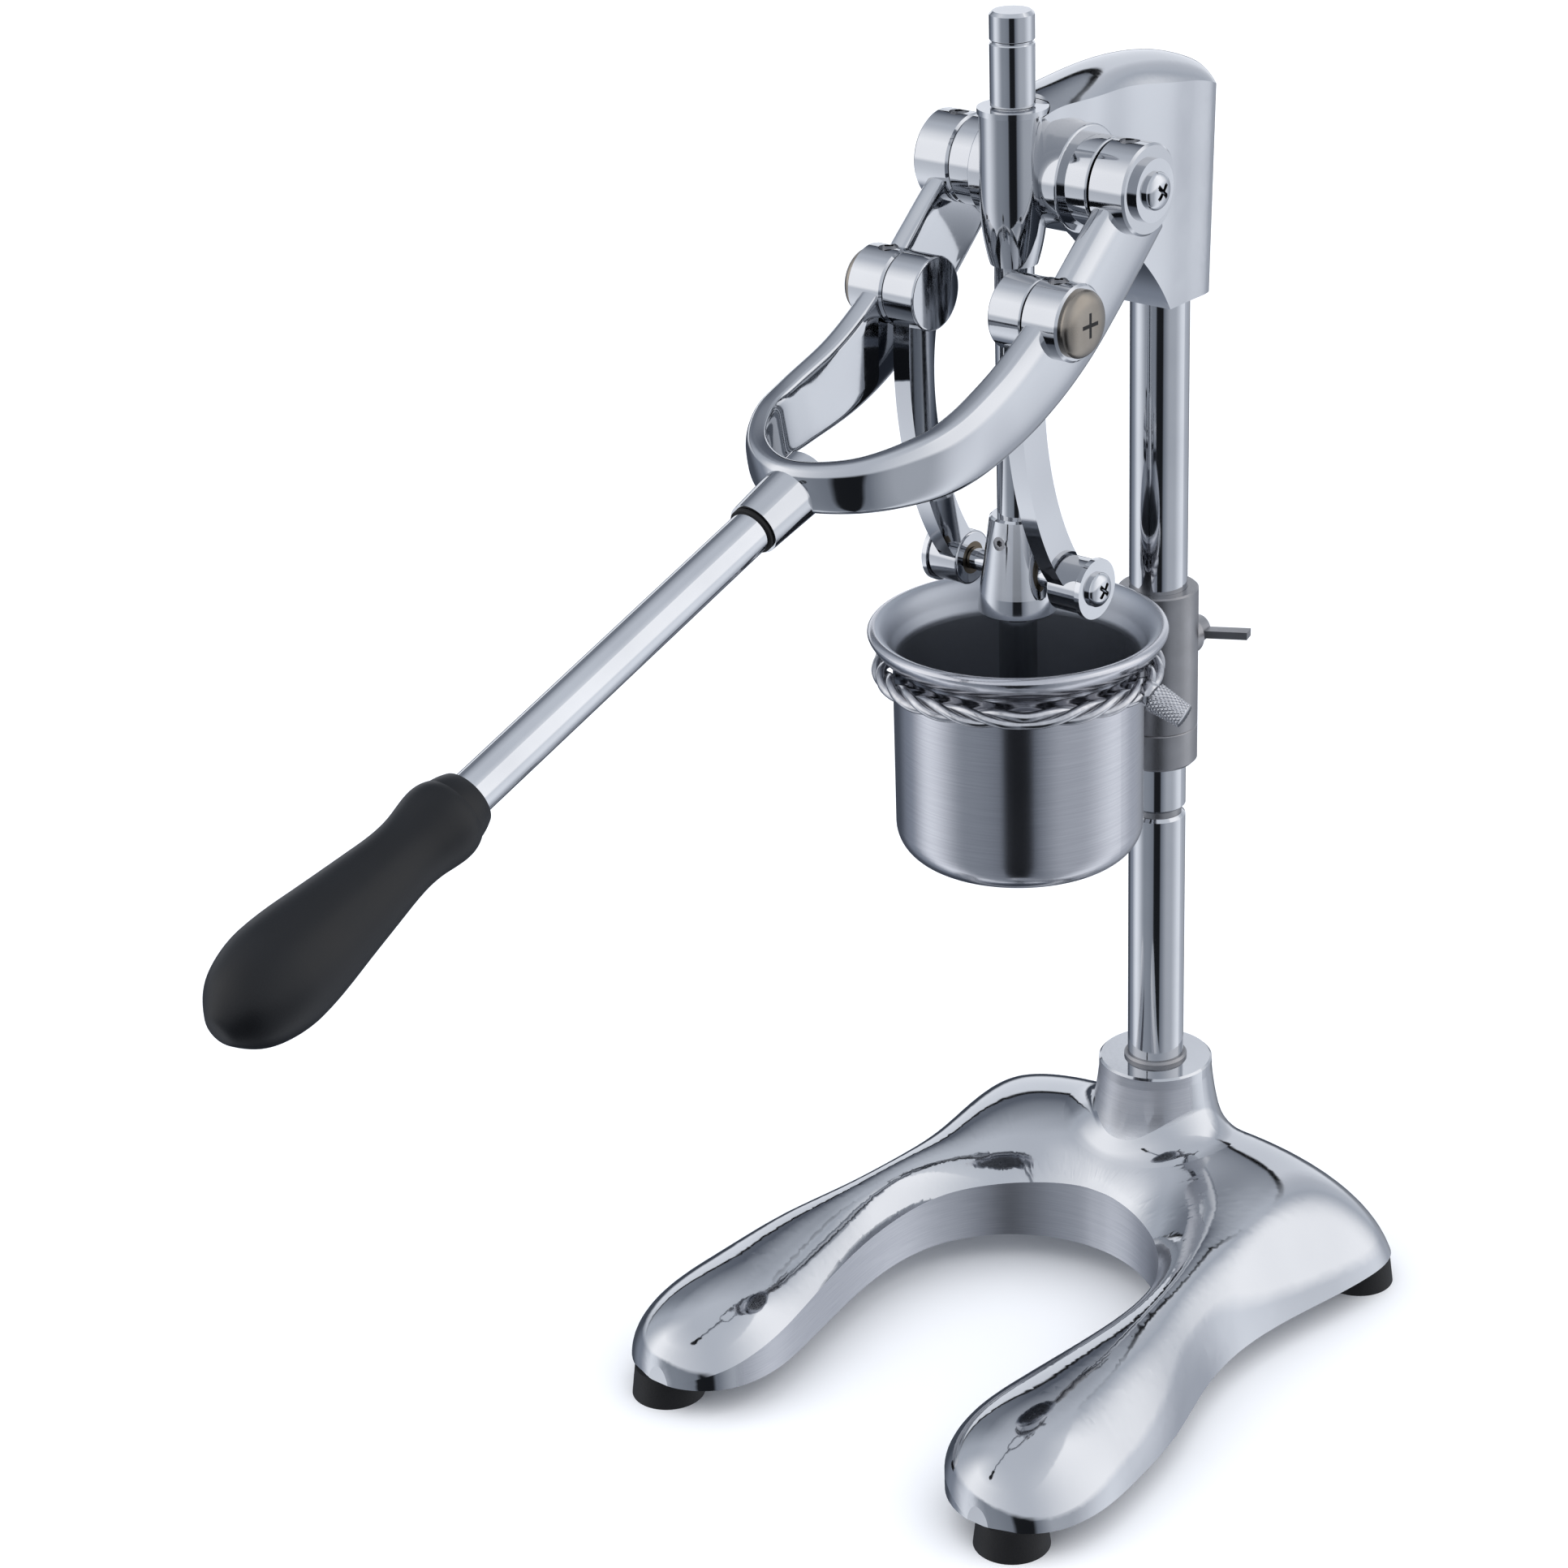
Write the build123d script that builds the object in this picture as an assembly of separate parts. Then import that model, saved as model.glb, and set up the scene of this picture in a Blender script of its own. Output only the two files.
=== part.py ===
from build123d import *
import math
import os

os.makedirs("parts", exist_ok=True)

# Fits shared by every piece
RUNNING = 0.05
CLEAR = 0.3
RIM = 0.8

# Base, feet and their screws
FOOT_HEIGHT = 12.0
FOOT_RADIUS = 14.0
FOOT_TOP_RADIUS = 12.5
FOOT_FRONT = (82.0, -206.0)
FOOT_REAR = (84.0, 20.0)
FOOT_SCREW_RADIUS = 2.5
FOOT_SCREW_HEAD = 5.0
FOOT_SCREW_RISE = 10.0
CROWN_SHARE = 0.42
ROLL_SHARE = 0.1
FLANK_CURVE = 2.3
TOE_X = 76.0
TOE_Y = -189.0
TOE_RADIUS = 29.5
ARCH_RADIUS = 57.0
ARCH_Y = -97.0
HUB_RADIUS = 22.4
HUB_TOP = 83.0
HUB_STRAIGHT = 5.0
FLARE_RADIUS = 33.0
FLARE_FOOT = 40.0
HUB_BLEND = 16.0

# Column, its joint and its bolt
COLUMN_RADIUS = 11.0
COLUMN_WALL = 3.0
COLUMN_CHAMFER = 1.2
SOCKET_FLOOR = 30.0
JOINT_Z = 190.0
JOINT_GAP = 2.5
SPIGOT_SHOULDER = 9.5
SPIGOT_LENGTH = 36.0
COLLAR_RIM = 1.4
COLLAR_HEIGHT = 2.0
BOLT_RADIUS = 4.0
BOLT_HEAD = 6.5
BOLT_HEAD_HEIGHT = 8.0
BOLT_SHANK = 28.0
BOLT_SEAT = 22.0
WASHER_RADIUS = 8.0
WASHER_THICK = 1.6
PLUG_LENGTH = 24.0

# Head casting
ROD_Y = -88.2
HEAD_DEPTH = 87.0
HEAD_SOCKET = 71.0
HEAD_REAR = 15.5
GUIDE_RADIUS = 11.8
GUIDE_RISE = 24.5
GUIDE_LENGTH = 53.0
GUIDE_STRAIGHT = 29.0
NOSE_RADIUS = 8.4
BUSH_WALL = 1.2
GUIDE_BUSH_LENGTH = 42.0
GUIDE_FLANGE = 12.4
GUIDE_FLANGE_HEIGHT = 2.0
PIVOT_BOSS_RADIUS = 16.0
PIVOT_SHOULDER_RADIUS = 19.0
PIVOT_SHOULDER_X = 19.0
PIVOT_BOSS_X = 29.5
PIVOT_BUSH_X = 9.0
PIVOT_BUSH_WALL = 2.0
HEAD_SCREW_RADIUS = 3.0
HEAD_SCREW_LOW = 19.0
HEAD_SCREW_HIGH = 49.0

# Lever fork and handle
PIVOT_A = (-71.0, 459.5)
PIVOT_B = (-112.0, 423.0)
PIVOT_C_Z = 317.5
PIVOT_RADIUS = 6.0
FORK_INNER_X = 30.0
FORK_OUTER_X = 45.0
FORK_ARM_X = 36.5
FORK_BOSS_A = 16.0
FORK_BOSS_B = 13.5
FORK_THICK = 10.5
FORK_DEPTH = 26.5
FORK_DROP = 12.3
FORK_FRONT = (-212.0, 385.8)
FORK_FRONT_DEPTH = 17.0
FORK_FRONT_THICK = 7.6
FORK_GRUB_RADIUS = 3.6
FORK_GRUB_SINK = 1.4
SLOT_WIDTH = 1.3
SLOT_REACH = 2.9
CAP_SCREW_RADIUS = 3.0
CAP_SCREW_LENGTH = 9.0
CAP_HEAD_RADIUS = 11.75
CAP_HEAD_HEIGHT = 4.6
PIVOT_WASHER_RADIUS = 11.0
PIVOT_WASHER_THICK = 2.0
PIVOT_HEAD_RADIUS = 6.7
PIVOT_HEAD_HEIGHT = 3.4
HANDLE_POINT = (-231.0, 376.4)
HANDLE_DROP = 18.2
SOCKET_RADIUS = 10.5
SOCKET_END_RADIUS = 9.25
SOCKET_LENGTH = 30.0
TUBE_RADIUS = 7.5
TUBE_WALL = 1.5
TUBE_INSERT = 25.0
TUBE_REACH = 215.0
RING_SECTION = 0.9
COLLAR_START = 146.0
GRIP_COLLAR_LENGTH = 7.0
GRIP_COLLAR_RADIUS = 11.2
GRIP_LENGTH = 106.0
GRIP_FRONT_RADIUS = 13.0
GRIP_NECK_RADIUS = 12.2
GRIP_SWELL_RADIUS = 17.8

# Links and their lower eyes
KNUCKLE_RADIUS = 13.2
KNUCKLE_INNER_X = 16.0
LINK_INNER_X = 20.5
LINK_OUTER_X = 27.5
LINK_WIDTH = 13.0
LINK_TOP_FRONT = 9.0
LINK_TOP_REAR = 11.5
LINK_BOW = 12.0
EYE_RADIUS = 10.0
EYE_OUTER_X = 33.0
EYE_BUSH_RADIUS = 6.0
EYE_WASHER_RADIUS = 11.0
EYE_WASHER_THICK = 2.0
EYE_HEAD_RADIUS = 6.3
EYE_HEAD_HEIGHT = 3.4
EYE_SCREW_RADIUS = 4.0
EYE_INNER_X = 20.0

# Press rod, crosshead and piston
ROD_RADIUS = 7.0
STOP_RADIUS = 7.8
STOP_LENGTH = 21.9
CAP_GAP = 0.8
CAP_LENGTH = 10.0
CAP_SPIGOT = 3.0
CROSSHEAD_LOW = 302.0
CROSSHEAD_HIGH = 338.7
CROSSHEAD_LOW_RADIUS = 14.3
CROSSHEAD_HIGH_RADIUS = 9.8
CROSS_SHAFT_RADIUS = 4.0
CROSS_SCREW_RADIUS = 2.5
PISTON_HEIGHT = 16.0
PISTON_NUT_RADIUS = 8.0
PISTON_NUT_HEIGHT = 6.0
PISTON_STUD_RADIUS = 4.0
SEAL_HEIGHT = 3.0
SEAL_DEPTH = 2.2

# Cup and die plate
CUP_RADIUS = 45.5
CUP_WALL = 1.5
CUP_BOTTOM = 208.0
CUP_CORNER = 12.0
CUP_NECK = 283.0
CUP_RIM_RADIUS = 54.4
CUP_RIM_Z = 295.0
DIE_THICK = 3.0
DIE_SEAT = 3.5
DIE_HOLE_RADIUS = 4.2
DIE_PITCH = 11.0

# Cup carrier and its two hand screws
SLEEVE_RADIUS = 15.25
SLEEVE_LOW = 212.0
SLEEVE_HIGH = 283.0
SLEEVE_SEAM = 227.0
SEAM_DEPTH = 0.4
CARRIER_ARM_WIDTH = 12.0
CARRIER_ARM_HEIGHT = 14.0
RING_Z = 280.0
RING_RADIUS = 49.5
RING_WIRE = 3.8
CLAMP_SIDE = 9.2
CLAMP_DROP = 24.0
CLAMP_RADIUS = 2.5
CLAMP_BOSS_RADIUS = 4.6
CLAMP_BOSS_END = 5.2
CLAMP_HEAD_LENGTH = 13.0
CLAMP_HEAD_RADIUS = 5.6
CLAMP_HEAD_END = 4.6
WING_Z = 257.0
WING_BOSS_RADIUS = 8.0
WING_BOSS_END = 19.5
WING_BOLT_RADIUS = 4.0
WING_HUB_RADIUS = 6.5
WING_HUB_LENGTH = 8.0
WING_SPAN = 19.0
WING_SWEEP = 7.0
WING_THICK = 3.0

# Heights that follow from the sizes above
GUIDE_TOP = PIVOT_A[1] + GUIDE_RISE
NOSE_Z = GUIDE_TOP - GUIDE_LENGTH
GUIDE_BUSH_Z = GUIDE_TOP - GUIDE_BUSH_LENGTH
HEAD_BOTTOM = GUIDE_TOP - HEAD_DEPTH
COLUMN_TOP = HEAD_BOTTOM + HEAD_SOCKET
HEAD_SCREW_HEIGHTS = (HEAD_BOTTOM + HEAD_SCREW_LOW, HEAD_BOTTOM + HEAD_SCREW_HIGH)
STOP_LOW = GUIDE_TOP + GUIDE_FLANGE_HEIGHT + CLEAR
ROD_TOP = STOP_LOW + STOP_LENGTH + CAP_GAP


def bar(origin, direction, radius, length):
    """A round bar from origin along direction."""
    plane = Plane(origin=origin, z_dir=direction)
    return plane * Cylinder(radius, length, align=(Align.CENTER, Align.CENTER, Align.MIN))


def boss(origin, direction, radius, length):
    """A round bar with both its rims softened."""
    body = Cylinder(radius, length, align=(Align.CENTER, Align.CENTER, Align.MIN))
    body = fillet(body.edges().filter_by(GeomType.CIRCLE), RIM)
    return Plane(origin=origin, z_dir=direction) * body


def cone(origin, direction, start_radius, end_radius, length):
    """A tapered round bar from origin along direction."""
    plane = Plane(origin=origin, z_dir=direction)
    return plane * Cone(start_radius, end_radius, length, align=(Align.CENTER, Align.CENTER, Align.MIN))


def turned(lines, origin=(0, 0, 0), direction=(0, 0, 1)):
    """A piece spun from closed lines of (radius, height) about a line through origin."""
    edges = [edge for line in lines for edge in line.edges()]
    spun = revolve(Plane.XZ * make_face(edges), Axis.Z)
    return Plane(origin=origin, z_dir=direction) * spun


def polygon(*points):
    """A closed outline of straight lines."""
    return [Polyline(*points, close=True)]


def tube(origin, direction, outer, inner, length):
    """A round tube from origin along direction."""
    return bar(origin, direction, outer, length) - bar(origin, direction, inner, length)


def cross_slot(origin, direction, reach, depth):
    """The cross-shaped driver recess cut into a screw head."""
    plane = Plane(origin=origin, x_dir=(0, 0.6, 0.8), z_dir=direction)
    low = (Align.CENTER, Align.CENTER, Align.MAX)
    wide = plane * Box(2 * reach, SLOT_WIDTH, depth, align=low)
    tall = plane * Box(SLOT_WIDTH, 2 * reach, depth, align=low)
    return wide + tall


def pan_screw(seat, direction, head_radius, head_height, shank_radius, shank_length):
    """A domed screw: its head stands on seat and its shank runs the other way."""
    edge_height = 0.3 * head_height
    lines = [
        Line((0, -shank_length), (shank_radius, -shank_length)),
        Line((shank_radius, -shank_length), (shank_radius, 0)),
        Line((shank_radius, 0), (head_radius, 0)),
        Line((head_radius, 0), (head_radius, edge_height)),
        Spline((head_radius, edge_height), (0, head_height), tangents=((-0.35, 1), (-1, 0))),
        Line((0, head_height), (0, -shank_length)),
    ]
    screw = turned(lines, seat, direction)
    top = tuple(s + d * head_height for s, d in zip(seat, direction))
    return screw - cross_slot(top, direction, SLOT_REACH, 0.6 * head_height)


def grub(origin, direction, radius, length):
    """A headless screw with a hexagon socket in its outer end."""
    body = bar(origin, direction, radius, length)
    end = tuple(o + d * length for o, d in zip(origin, direction))
    plane = Plane(origin=end, z_dir=direction)
    return body - extrude(plane * RegularPolygon(0.5 * radius, 6), -0.6 * radius)


def save(name, *solids):
    """Write one node, of one solid or of several alike."""
    shape = solids[0] if len(solids) == 1 else Compound(children=list(solids))
    export_step(shape, f"parts/{name}.step")


# Base casting: a horseshoe lofted round the arch, with the column hub grown out of its back
def leg_section(inner, outer, wall, crest, fall=0.8):
    """One upright slice of the horseshoe: arch wall, rolled edge, domed flank and flat underside."""
    low = FOOT_HEIGHT - 2.0
    start = Vector(inner[0], inner[1], 0)
    span = Vector(outer[0], outer[1], 0) - start
    up = Vector(0, 0, 1)
    wall_top = start + up * wall
    roll = start + span * ROLL_SHARE + up * 0.5 * (wall + crest)
    dome = [wall_top, roll, start + span * CROWN_SHARE + up * crest]
    for out in (0.45, 0.75, 0.93):
        height = FOOT_HEIGHT + (crest - FOOT_HEIGHT) * (1 - out**FLANK_CURVE) ** fall
        dome.append(start + span * (CROWN_SHARE + (1 - CROWN_SHARE) * out) + up * height)
    edge = start + span + up * FOOT_HEIGHT
    lines = [
        Line(start + up * low, wall_top),
        Spline(*dome, edge),
        Line(edge, start + span + up * low),
        Line(start + span + up * low, start + up * low),
    ]
    return make_face([line_edge for line in lines for line_edge in line.edges()])


def horseshoe_half(side):
    """The slices of one leg, from its toe to just beside the middle of the back."""
    def at(x, y):
        return (side * x, y)

    def on_arch(x):
        return (side * x, ARCH_Y + math.sqrt(ARCH_RADIUS**2 - x**2))

    def toe_section(angle, wall, crest):
        turn = math.radians(angle)
        half = TOE_RADIUS * math.cos(turn)
        y = TOE_Y - TOE_RADIUS * math.sin(turn)
        return leg_section(at(TOE_X - half, y), at(TOE_X + half, y), wall, crest, 0.6)

    return [
        toe_section(81.0, 12.5, 19.0),
        toe_section(60.0, 16.5, 28.0),
        toe_section(38.0, 20.0, 34.0),
        toe_section(12.0, 24.0, 39.0),
        leg_section(at(48.5, -162.0), at(105.5, -162.0), 29.0, 43.0, 0.65),
        leg_section(at(54.7, -128.0), at(100.0, -128.0), 31.0, 44.5, 0.7),
        leg_section(at(57.0, -98.0), at(91.0, -96.0), 32.0, 45.0, 0.75),
        leg_section(on_arch(51.5), at(87.5, -62.0), 34.0, 46.5),
        leg_section(on_arch(41.0), at(91.5, -30.0), 35.0, 48.0),
        leg_section(on_arch(30.0), at(97.5, 4.0), 36.0, 51.0),
        leg_section(on_arch(21.0), at(95.0, 27.0), 37.0, 53.0),
        leg_section(on_arch(12.0), at(72.0, 39.0), 38.0, 55.0, 0.75),
    ]


def make_base():
    """The cast base, bored for the column, its bolt and the foot screws."""
    middle = leg_section((0, ARCH_Y + ARCH_RADIUS), (0, 40.0), 38.5, 57.0, 0.7)
    shoe = loft(horseshoe_half(1) + [middle] + horseshoe_half(-1)[::-1])
    flare_top = HUB_TOP - HUB_STRAIGHT
    flare = Spline((HUB_RADIUS, flare_top), (FLARE_RADIUS, FLARE_FOOT), tangents=((0.1, -1), (0.6, -1)))
    lines = [
        Line((0, SOCKET_FLOOR), (0, HUB_TOP)),
        Line((0, HUB_TOP), (HUB_RADIUS - RIM, HUB_TOP)),
        Line((HUB_RADIUS - RIM, HUB_TOP), (HUB_RADIUS, HUB_TOP - RIM)),
        Line((HUB_RADIUS, HUB_TOP - RIM), (HUB_RADIUS, flare_top)),
        flare,
        Line((FLARE_RADIUS, FLARE_FOOT), (FLARE_RADIUS, SOCKET_FLOOR)),
        Line((FLARE_RADIUS, SOCKET_FLOOR), (0, SOCKET_FLOOR)),
    ]
    hub = turned(lines)
    casting = shoe + hub
    casting = fillet(new_edges(shoe, hub, combined=casting), HUB_BLEND)
    below = Box(-4 * TOE_Y, -4 * TOE_Y, FOOT_HEIGHT, align=(Align.CENTER, Align.CENTER, Align.MIN))
    casting -= below
    casting -= bar((0, 0, SOCKET_FLOOR), (0, 0, 1), COLUMN_RADIUS, HUB_TOP)
    casting -= bar((0, 0, 0), (0, 0, 1), BOLT_RADIUS + CLEAR, SOCKET_FLOOR + 1)
    casting -= bar((0, 0, 0), (0, 0, 1), WASHER_RADIUS + CLEAR, BOLT_SEAT)
    for x, y in foot_places():
        casting -= bar((x, y, 0), (0, 0, 1), FOOT_SCREW_RADIUS, FOOT_HEIGHT + FOOT_SCREW_RISE)
    return casting


def foot_places():
    """Where the four feet stand: front right, front left, rear right, rear left."""
    return [
        FOOT_FRONT,
        (-FOOT_FRONT[0], FOOT_FRONT[1]),
        FOOT_REAR,
        (-FOOT_REAR[0], FOOT_REAR[1]),
    ]


save("base_casting", make_base())

# Rubber feet, each held by a screw from below
FOOT_SEAT = 5.0


def make_foot(x, y):
    """One flared rubber foot with a counterbore for its screw."""
    body = cone((x, y, 0), (0, 0, 1), FOOT_RADIUS, FOOT_TOP_RADIUS, FOOT_HEIGHT)
    body -= bar((x, y, 0), (0, 0, 1), FOOT_SCREW_RADIUS, FOOT_HEIGHT)
    return body - bar((x, y, 0), (0, 0, 1), FOOT_SCREW_HEAD + CLEAR, FOOT_SEAT)


def make_foot_screw(x, y):
    """One cheese-head screw up through a foot."""
    head = bar((x, y, FOOT_SEAT - 3.0), (0, 0, 1), FOOT_SCREW_HEAD, 3.0)
    return head + bar((x, y, FOOT_SEAT), (0, 0, 1), FOOT_SCREW_RADIUS, FOOT_HEIGHT + FOOT_SCREW_RISE - FOOT_SEAT)


foot_names = ["foot_front_right", "foot_front_left", "foot_rear_right", "foot_rear_left"]
for foot_name, place in zip(foot_names, foot_places()):
    save(foot_name, make_foot(*place))
save("foot_screws", *[make_foot_screw(*place) for place in foot_places()])

# Column: two tubes on a shouldered spigot, a plug for the bolt and a collar on the hub
COLUMN_BORE = COLUMN_RADIUS - COLUMN_WALL
UPPER_Z = JOINT_Z + JOINT_GAP


def column_tube(low, high, chamfer_low, chamfer_high):
    """One column tube with its bevelled ends."""
    points = [
        (COLUMN_BORE, low),
        (COLUMN_RADIUS - chamfer_low, low),
        (COLUMN_RADIUS, low + chamfer_low),
        (COLUMN_RADIUS, high - chamfer_high),
        (COLUMN_RADIUS - chamfer_high, high),
        (COLUMN_BORE, high),
    ]
    return turned(polygon(*points))


save("lower_column", column_tube(SOCKET_FLOOR, JOINT_Z, 0.5, COLUMN_CHAMFER))
save("upper_column", column_tube(UPPER_Z, COLUMN_TOP, COLUMN_CHAMFER, 0.5))
spigot = bar((0, 0, JOINT_Z - SPIGOT_LENGTH), (0, 0, 1), COLUMN_BORE, 2 * SPIGOT_LENGTH + JOINT_GAP)
save("column_spigot", spigot + bar((0, 0, JOINT_Z), (0, 0, 1), SPIGOT_SHOULDER, JOINT_GAP))
save("column_plug", tube((0, 0, SOCKET_FLOOR), (0, 0, 1), COLUMN_BORE, BOLT_RADIUS, PLUG_LENGTH))
collar_points = [
    (COLUMN_RADIUS, HUB_TOP),
    (COLUMN_RADIUS + COLLAR_RIM, HUB_TOP),
    (COLUMN_RADIUS + COLLAR_RIM, HUB_TOP + 0.5 * COLLAR_HEIGHT),
    (COLUMN_RADIUS + 0.5 * COLLAR_RIM, HUB_TOP + COLLAR_HEIGHT),
    (COLUMN_RADIUS, HUB_TOP + COLLAR_HEIGHT),
]
save("column_collar", turned(polygon(*collar_points)))
washer_low = BOLT_SEAT - WASHER_THICK
bolt = bar((0, 0, washer_low), (0, 0, 1), BOLT_RADIUS, BOLT_SHANK)
bolt += bar((0, 0, washer_low - BOLT_HEAD_HEIGHT), (0, 0, 1), BOLT_HEAD, BOLT_HEAD_HEIGHT)
hexagon = RegularPolygon(0.55 * BOLT_HEAD, 6)
bolt -= extrude(Pos(0, 0, washer_low - BOLT_HEAD_HEIGHT) * hexagon, 0.5 * BOLT_HEAD_HEIGHT)
save("column_bolt", bolt)
save("column_washer", tube((0, 0, washer_low), (0, 0, 1), WASHER_RADIUS, BOLT_RADIUS, WASHER_THICK))


# Head casting: a crowned arm over the column, with the rod guide in front and the pivot boss across
def head_slice(y, half_width, side_rise, crown_rise):
    """One slice across the arm: tapering sides under an arched top, both measured from the guide's top."""
    low_z = HEAD_BOTTOM - 5.0
    side_z = GUIDE_TOP + side_rise
    crown_z = GUIDE_TOP + crown_rise
    low = 0.84 * half_width
    lines = [
        Line((-low, y, low_z), (low, y, low_z)),
        Line((low, y, low_z), (half_width, y, side_z)),
        ThreePointArc((half_width, y, side_z), (0, y, crown_z), (-half_width, y, side_z)),
        Line((-half_width, y, side_z), (-low, y, low_z)),
    ]
    return make_face([edge for line in lines for edge in line.edges()])


def head_arm():
    """The arm, swept back from the guide to the column and hollowed below."""
    arm = loft(
        [
            head_slice(1.04 * ROD_Y, 10.4, -1.4, -0.4),
            head_slice(0.92 * ROD_Y, 12.2, 0.6, 2.4),
            head_slice(0.77 * ROD_Y, 13.6, 1.2, 5.0),
            head_slice(0.57 * ROD_Y, 14.6, 1.0, 7.2),
            head_slice(0.28 * ROD_Y, 15.6, -1.5, 7.4),
            head_slice(0.07 * ROD_Y, 16.0, -4.5, 4.8),
            head_slice(HEAD_REAR - 7.5, 16.0, -7.7, 0.6),
            head_slice(HEAD_REAR - 2.5, 14.8, -9.6, -1.4),
            head_slice(HEAD_REAR, 11.6, -10.8, -2.6),
        ]
    )
    top = GUIDE_TOP + 20.0
    front = 1.08 * ROD_Y
    rear = HEAD_REAR + 5.0
    under = [
        (0.86 * ROD_Y, GUIDE_TOP - 38.0),
        (0.57 * ROD_Y, GUIDE_TOP - 48.0),
        (0.33 * ROD_Y, GUIDE_TOP - 66.0),
        (0.2 * ROD_Y, GUIDE_TOP - 80.0),
        (0.15 * ROD_Y, HEAD_BOTTOM),
    ]
    lines = [
        Line((front, top), (front, GUIDE_TOP - 32.0)),
        Line((front, GUIDE_TOP - 32.0), under[0]),
        Spline(*under),
        Line(under[-1], (rear, HEAD_BOTTOM)),
        Line((rear, HEAD_BOTTOM), (rear, top)),
        Line((rear, top), (front, top)),
    ]
    side = make_face([edge for line in lines for edge in line.edges()])
    return arm & extrude(Plane.YZ * side, PIVOT_BOSS_X, both=True)


def make_head():
    """The head casting with its guide, pivot boss, column socket and screw holes."""
    straight_low = GUIDE_TOP - GUIDE_STRAIGHT
    nose = Spline((GUIDE_RADIUS, straight_low), (NOSE_RADIUS, NOSE_Z), tangents=((0, -1), (-0.3, -1)))
    lines = [
        Line((0, GUIDE_TOP), (GUIDE_RADIUS, GUIDE_TOP)),
        Line((GUIDE_RADIUS, GUIDE_TOP), (GUIDE_RADIUS, straight_low)),
        nose,
        Line((NOSE_RADIUS, NOSE_Z), (0, NOSE_Z)),
        Line((0, NOSE_Z), (0, GUIDE_TOP)),
    ]
    guide = turned(lines, (0, ROD_Y, 0))
    casting = head_arm() + guide
    casting += boss((-PIVOT_SHOULDER_X, *PIVOT_A), (1, 0, 0), PIVOT_SHOULDER_RADIUS, 2 * PIVOT_SHOULDER_X)
    casting += boss((-PIVOT_BOSS_X, *PIVOT_A), (1, 0, 0), PIVOT_BOSS_RADIUS, 2 * PIVOT_BOSS_X)
    casting -= bar((0, ROD_Y, GUIDE_TOP), (0, 0, 1), GUIDE_FLANGE + CLEAR, GUIDE_LENGTH)
    casting -= bar((0, ROD_Y, NOSE_Z - 1), (0, 0, 1), ROD_RADIUS + CLEAR, GUIDE_LENGTH + 2)
    casting -= bar((0, ROD_Y, GUIDE_BUSH_Z), (0, 0, 1), ROD_RADIUS + BUSH_WALL, GUIDE_BUSH_LENGTH + 1)
    casting -= bar((-PIVOT_BOSS_X, *PIVOT_A), (1, 0, 0), PIVOT_RADIUS + CLEAR, 2 * PIVOT_BOSS_X)
    for side in (-1, 1):
        start = (side * PIVOT_BUSH_X, *PIVOT_A)
        casting -= bar(start, (side, 0, 0), PIVOT_RADIUS + PIVOT_BUSH_WALL, PIVOT_BOSS_X)
    casting -= bar((0, 0, HEAD_BOTTOM - 1), (0, 0, 1), COLUMN_RADIUS, COLUMN_TOP - HEAD_BOTTOM + 1)
    for z in HEAD_SCREW_HEIGHTS:
        casting -= bar((0, COLUMN_RADIUS - 1, z), (0, 1, 0), HEAD_SCREW_RADIUS, HEAD_REAR)
    return casting


save("head_casting", make_head())
head_screw_length = HEAD_REAR - COLUMN_RADIUS - 0.6
head_screws = []
for screw_z in HEAD_SCREW_HEIGHTS:
    head_screws.append(grub((0, COLUMN_RADIUS, screw_z), (0, 1, 0), HEAD_SCREW_RADIUS, head_screw_length))
save("head_set_screws", *head_screws)
bush = bar((0, ROD_Y, GUIDE_BUSH_Z), (0, 0, 1), ROD_RADIUS + BUSH_WALL, GUIDE_BUSH_LENGTH)
bush += bar((0, ROD_Y, GUIDE_TOP), (0, 0, 1), GUIDE_FLANGE, GUIDE_FLANGE_HEIGHT)
bush -= bar((0, ROD_Y, GUIDE_BUSH_Z), (0, 0, 1), ROD_RADIUS + RUNNING, GUIDE_BUSH_LENGTH + GUIDE_FLANGE_HEIGHT)
save("guide_bush", bush)
bush_length = PIVOT_BOSS_X - PIVOT_BUSH_X
bush_outer = PIVOT_RADIUS + PIVOT_BUSH_WALL
pivot_bushes = []
for side in (-1, 1):
    start = (side * PIVOT_BUSH_X, *PIVOT_A)
    pivot_bushes.append(tube(start, (side, 0, 0), bush_outer, PIVOT_RADIUS + RUNNING, bush_length))
save("pivot_bushes", *pivot_bushes)

# Lever fork: one swept U from pivot to pivot, with bosses for the shaft and pins and a socket in front
drop = math.radians(HANDLE_DROP)
handle_way = (0, -math.cos(drop), -math.sin(drop))


def along_handle(distance):
    """A point on the handle's centre line, counted from the mouth of the socket."""
    return tuple(p + distance * d for p, d in zip((0, *HANDLE_POINT), handle_way))


def fork_slice(point, way, depth, thick):
    """One slice of the U: flat inside, rounded outside."""
    across = Vector(*way).cross(Vector(0, 0, 1)).normalized()
    plane = Plane(origin=point, x_dir=across, z_dir=way)
    inside = -thick / 2
    outside = thick / 2
    lines = [
        Line((inside, -depth / 2), (inside, depth / 2)),
        Spline(
            (inside, depth / 2),
            (inside + 0.6 * thick, 0.43 * depth),
            (outside, 0),
            (inside + 0.6 * thick, -0.43 * depth),
            (inside, -depth / 2),
        ),
    ]
    return plane * make_face([edge for line in lines for edge in line.edges()])


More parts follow.
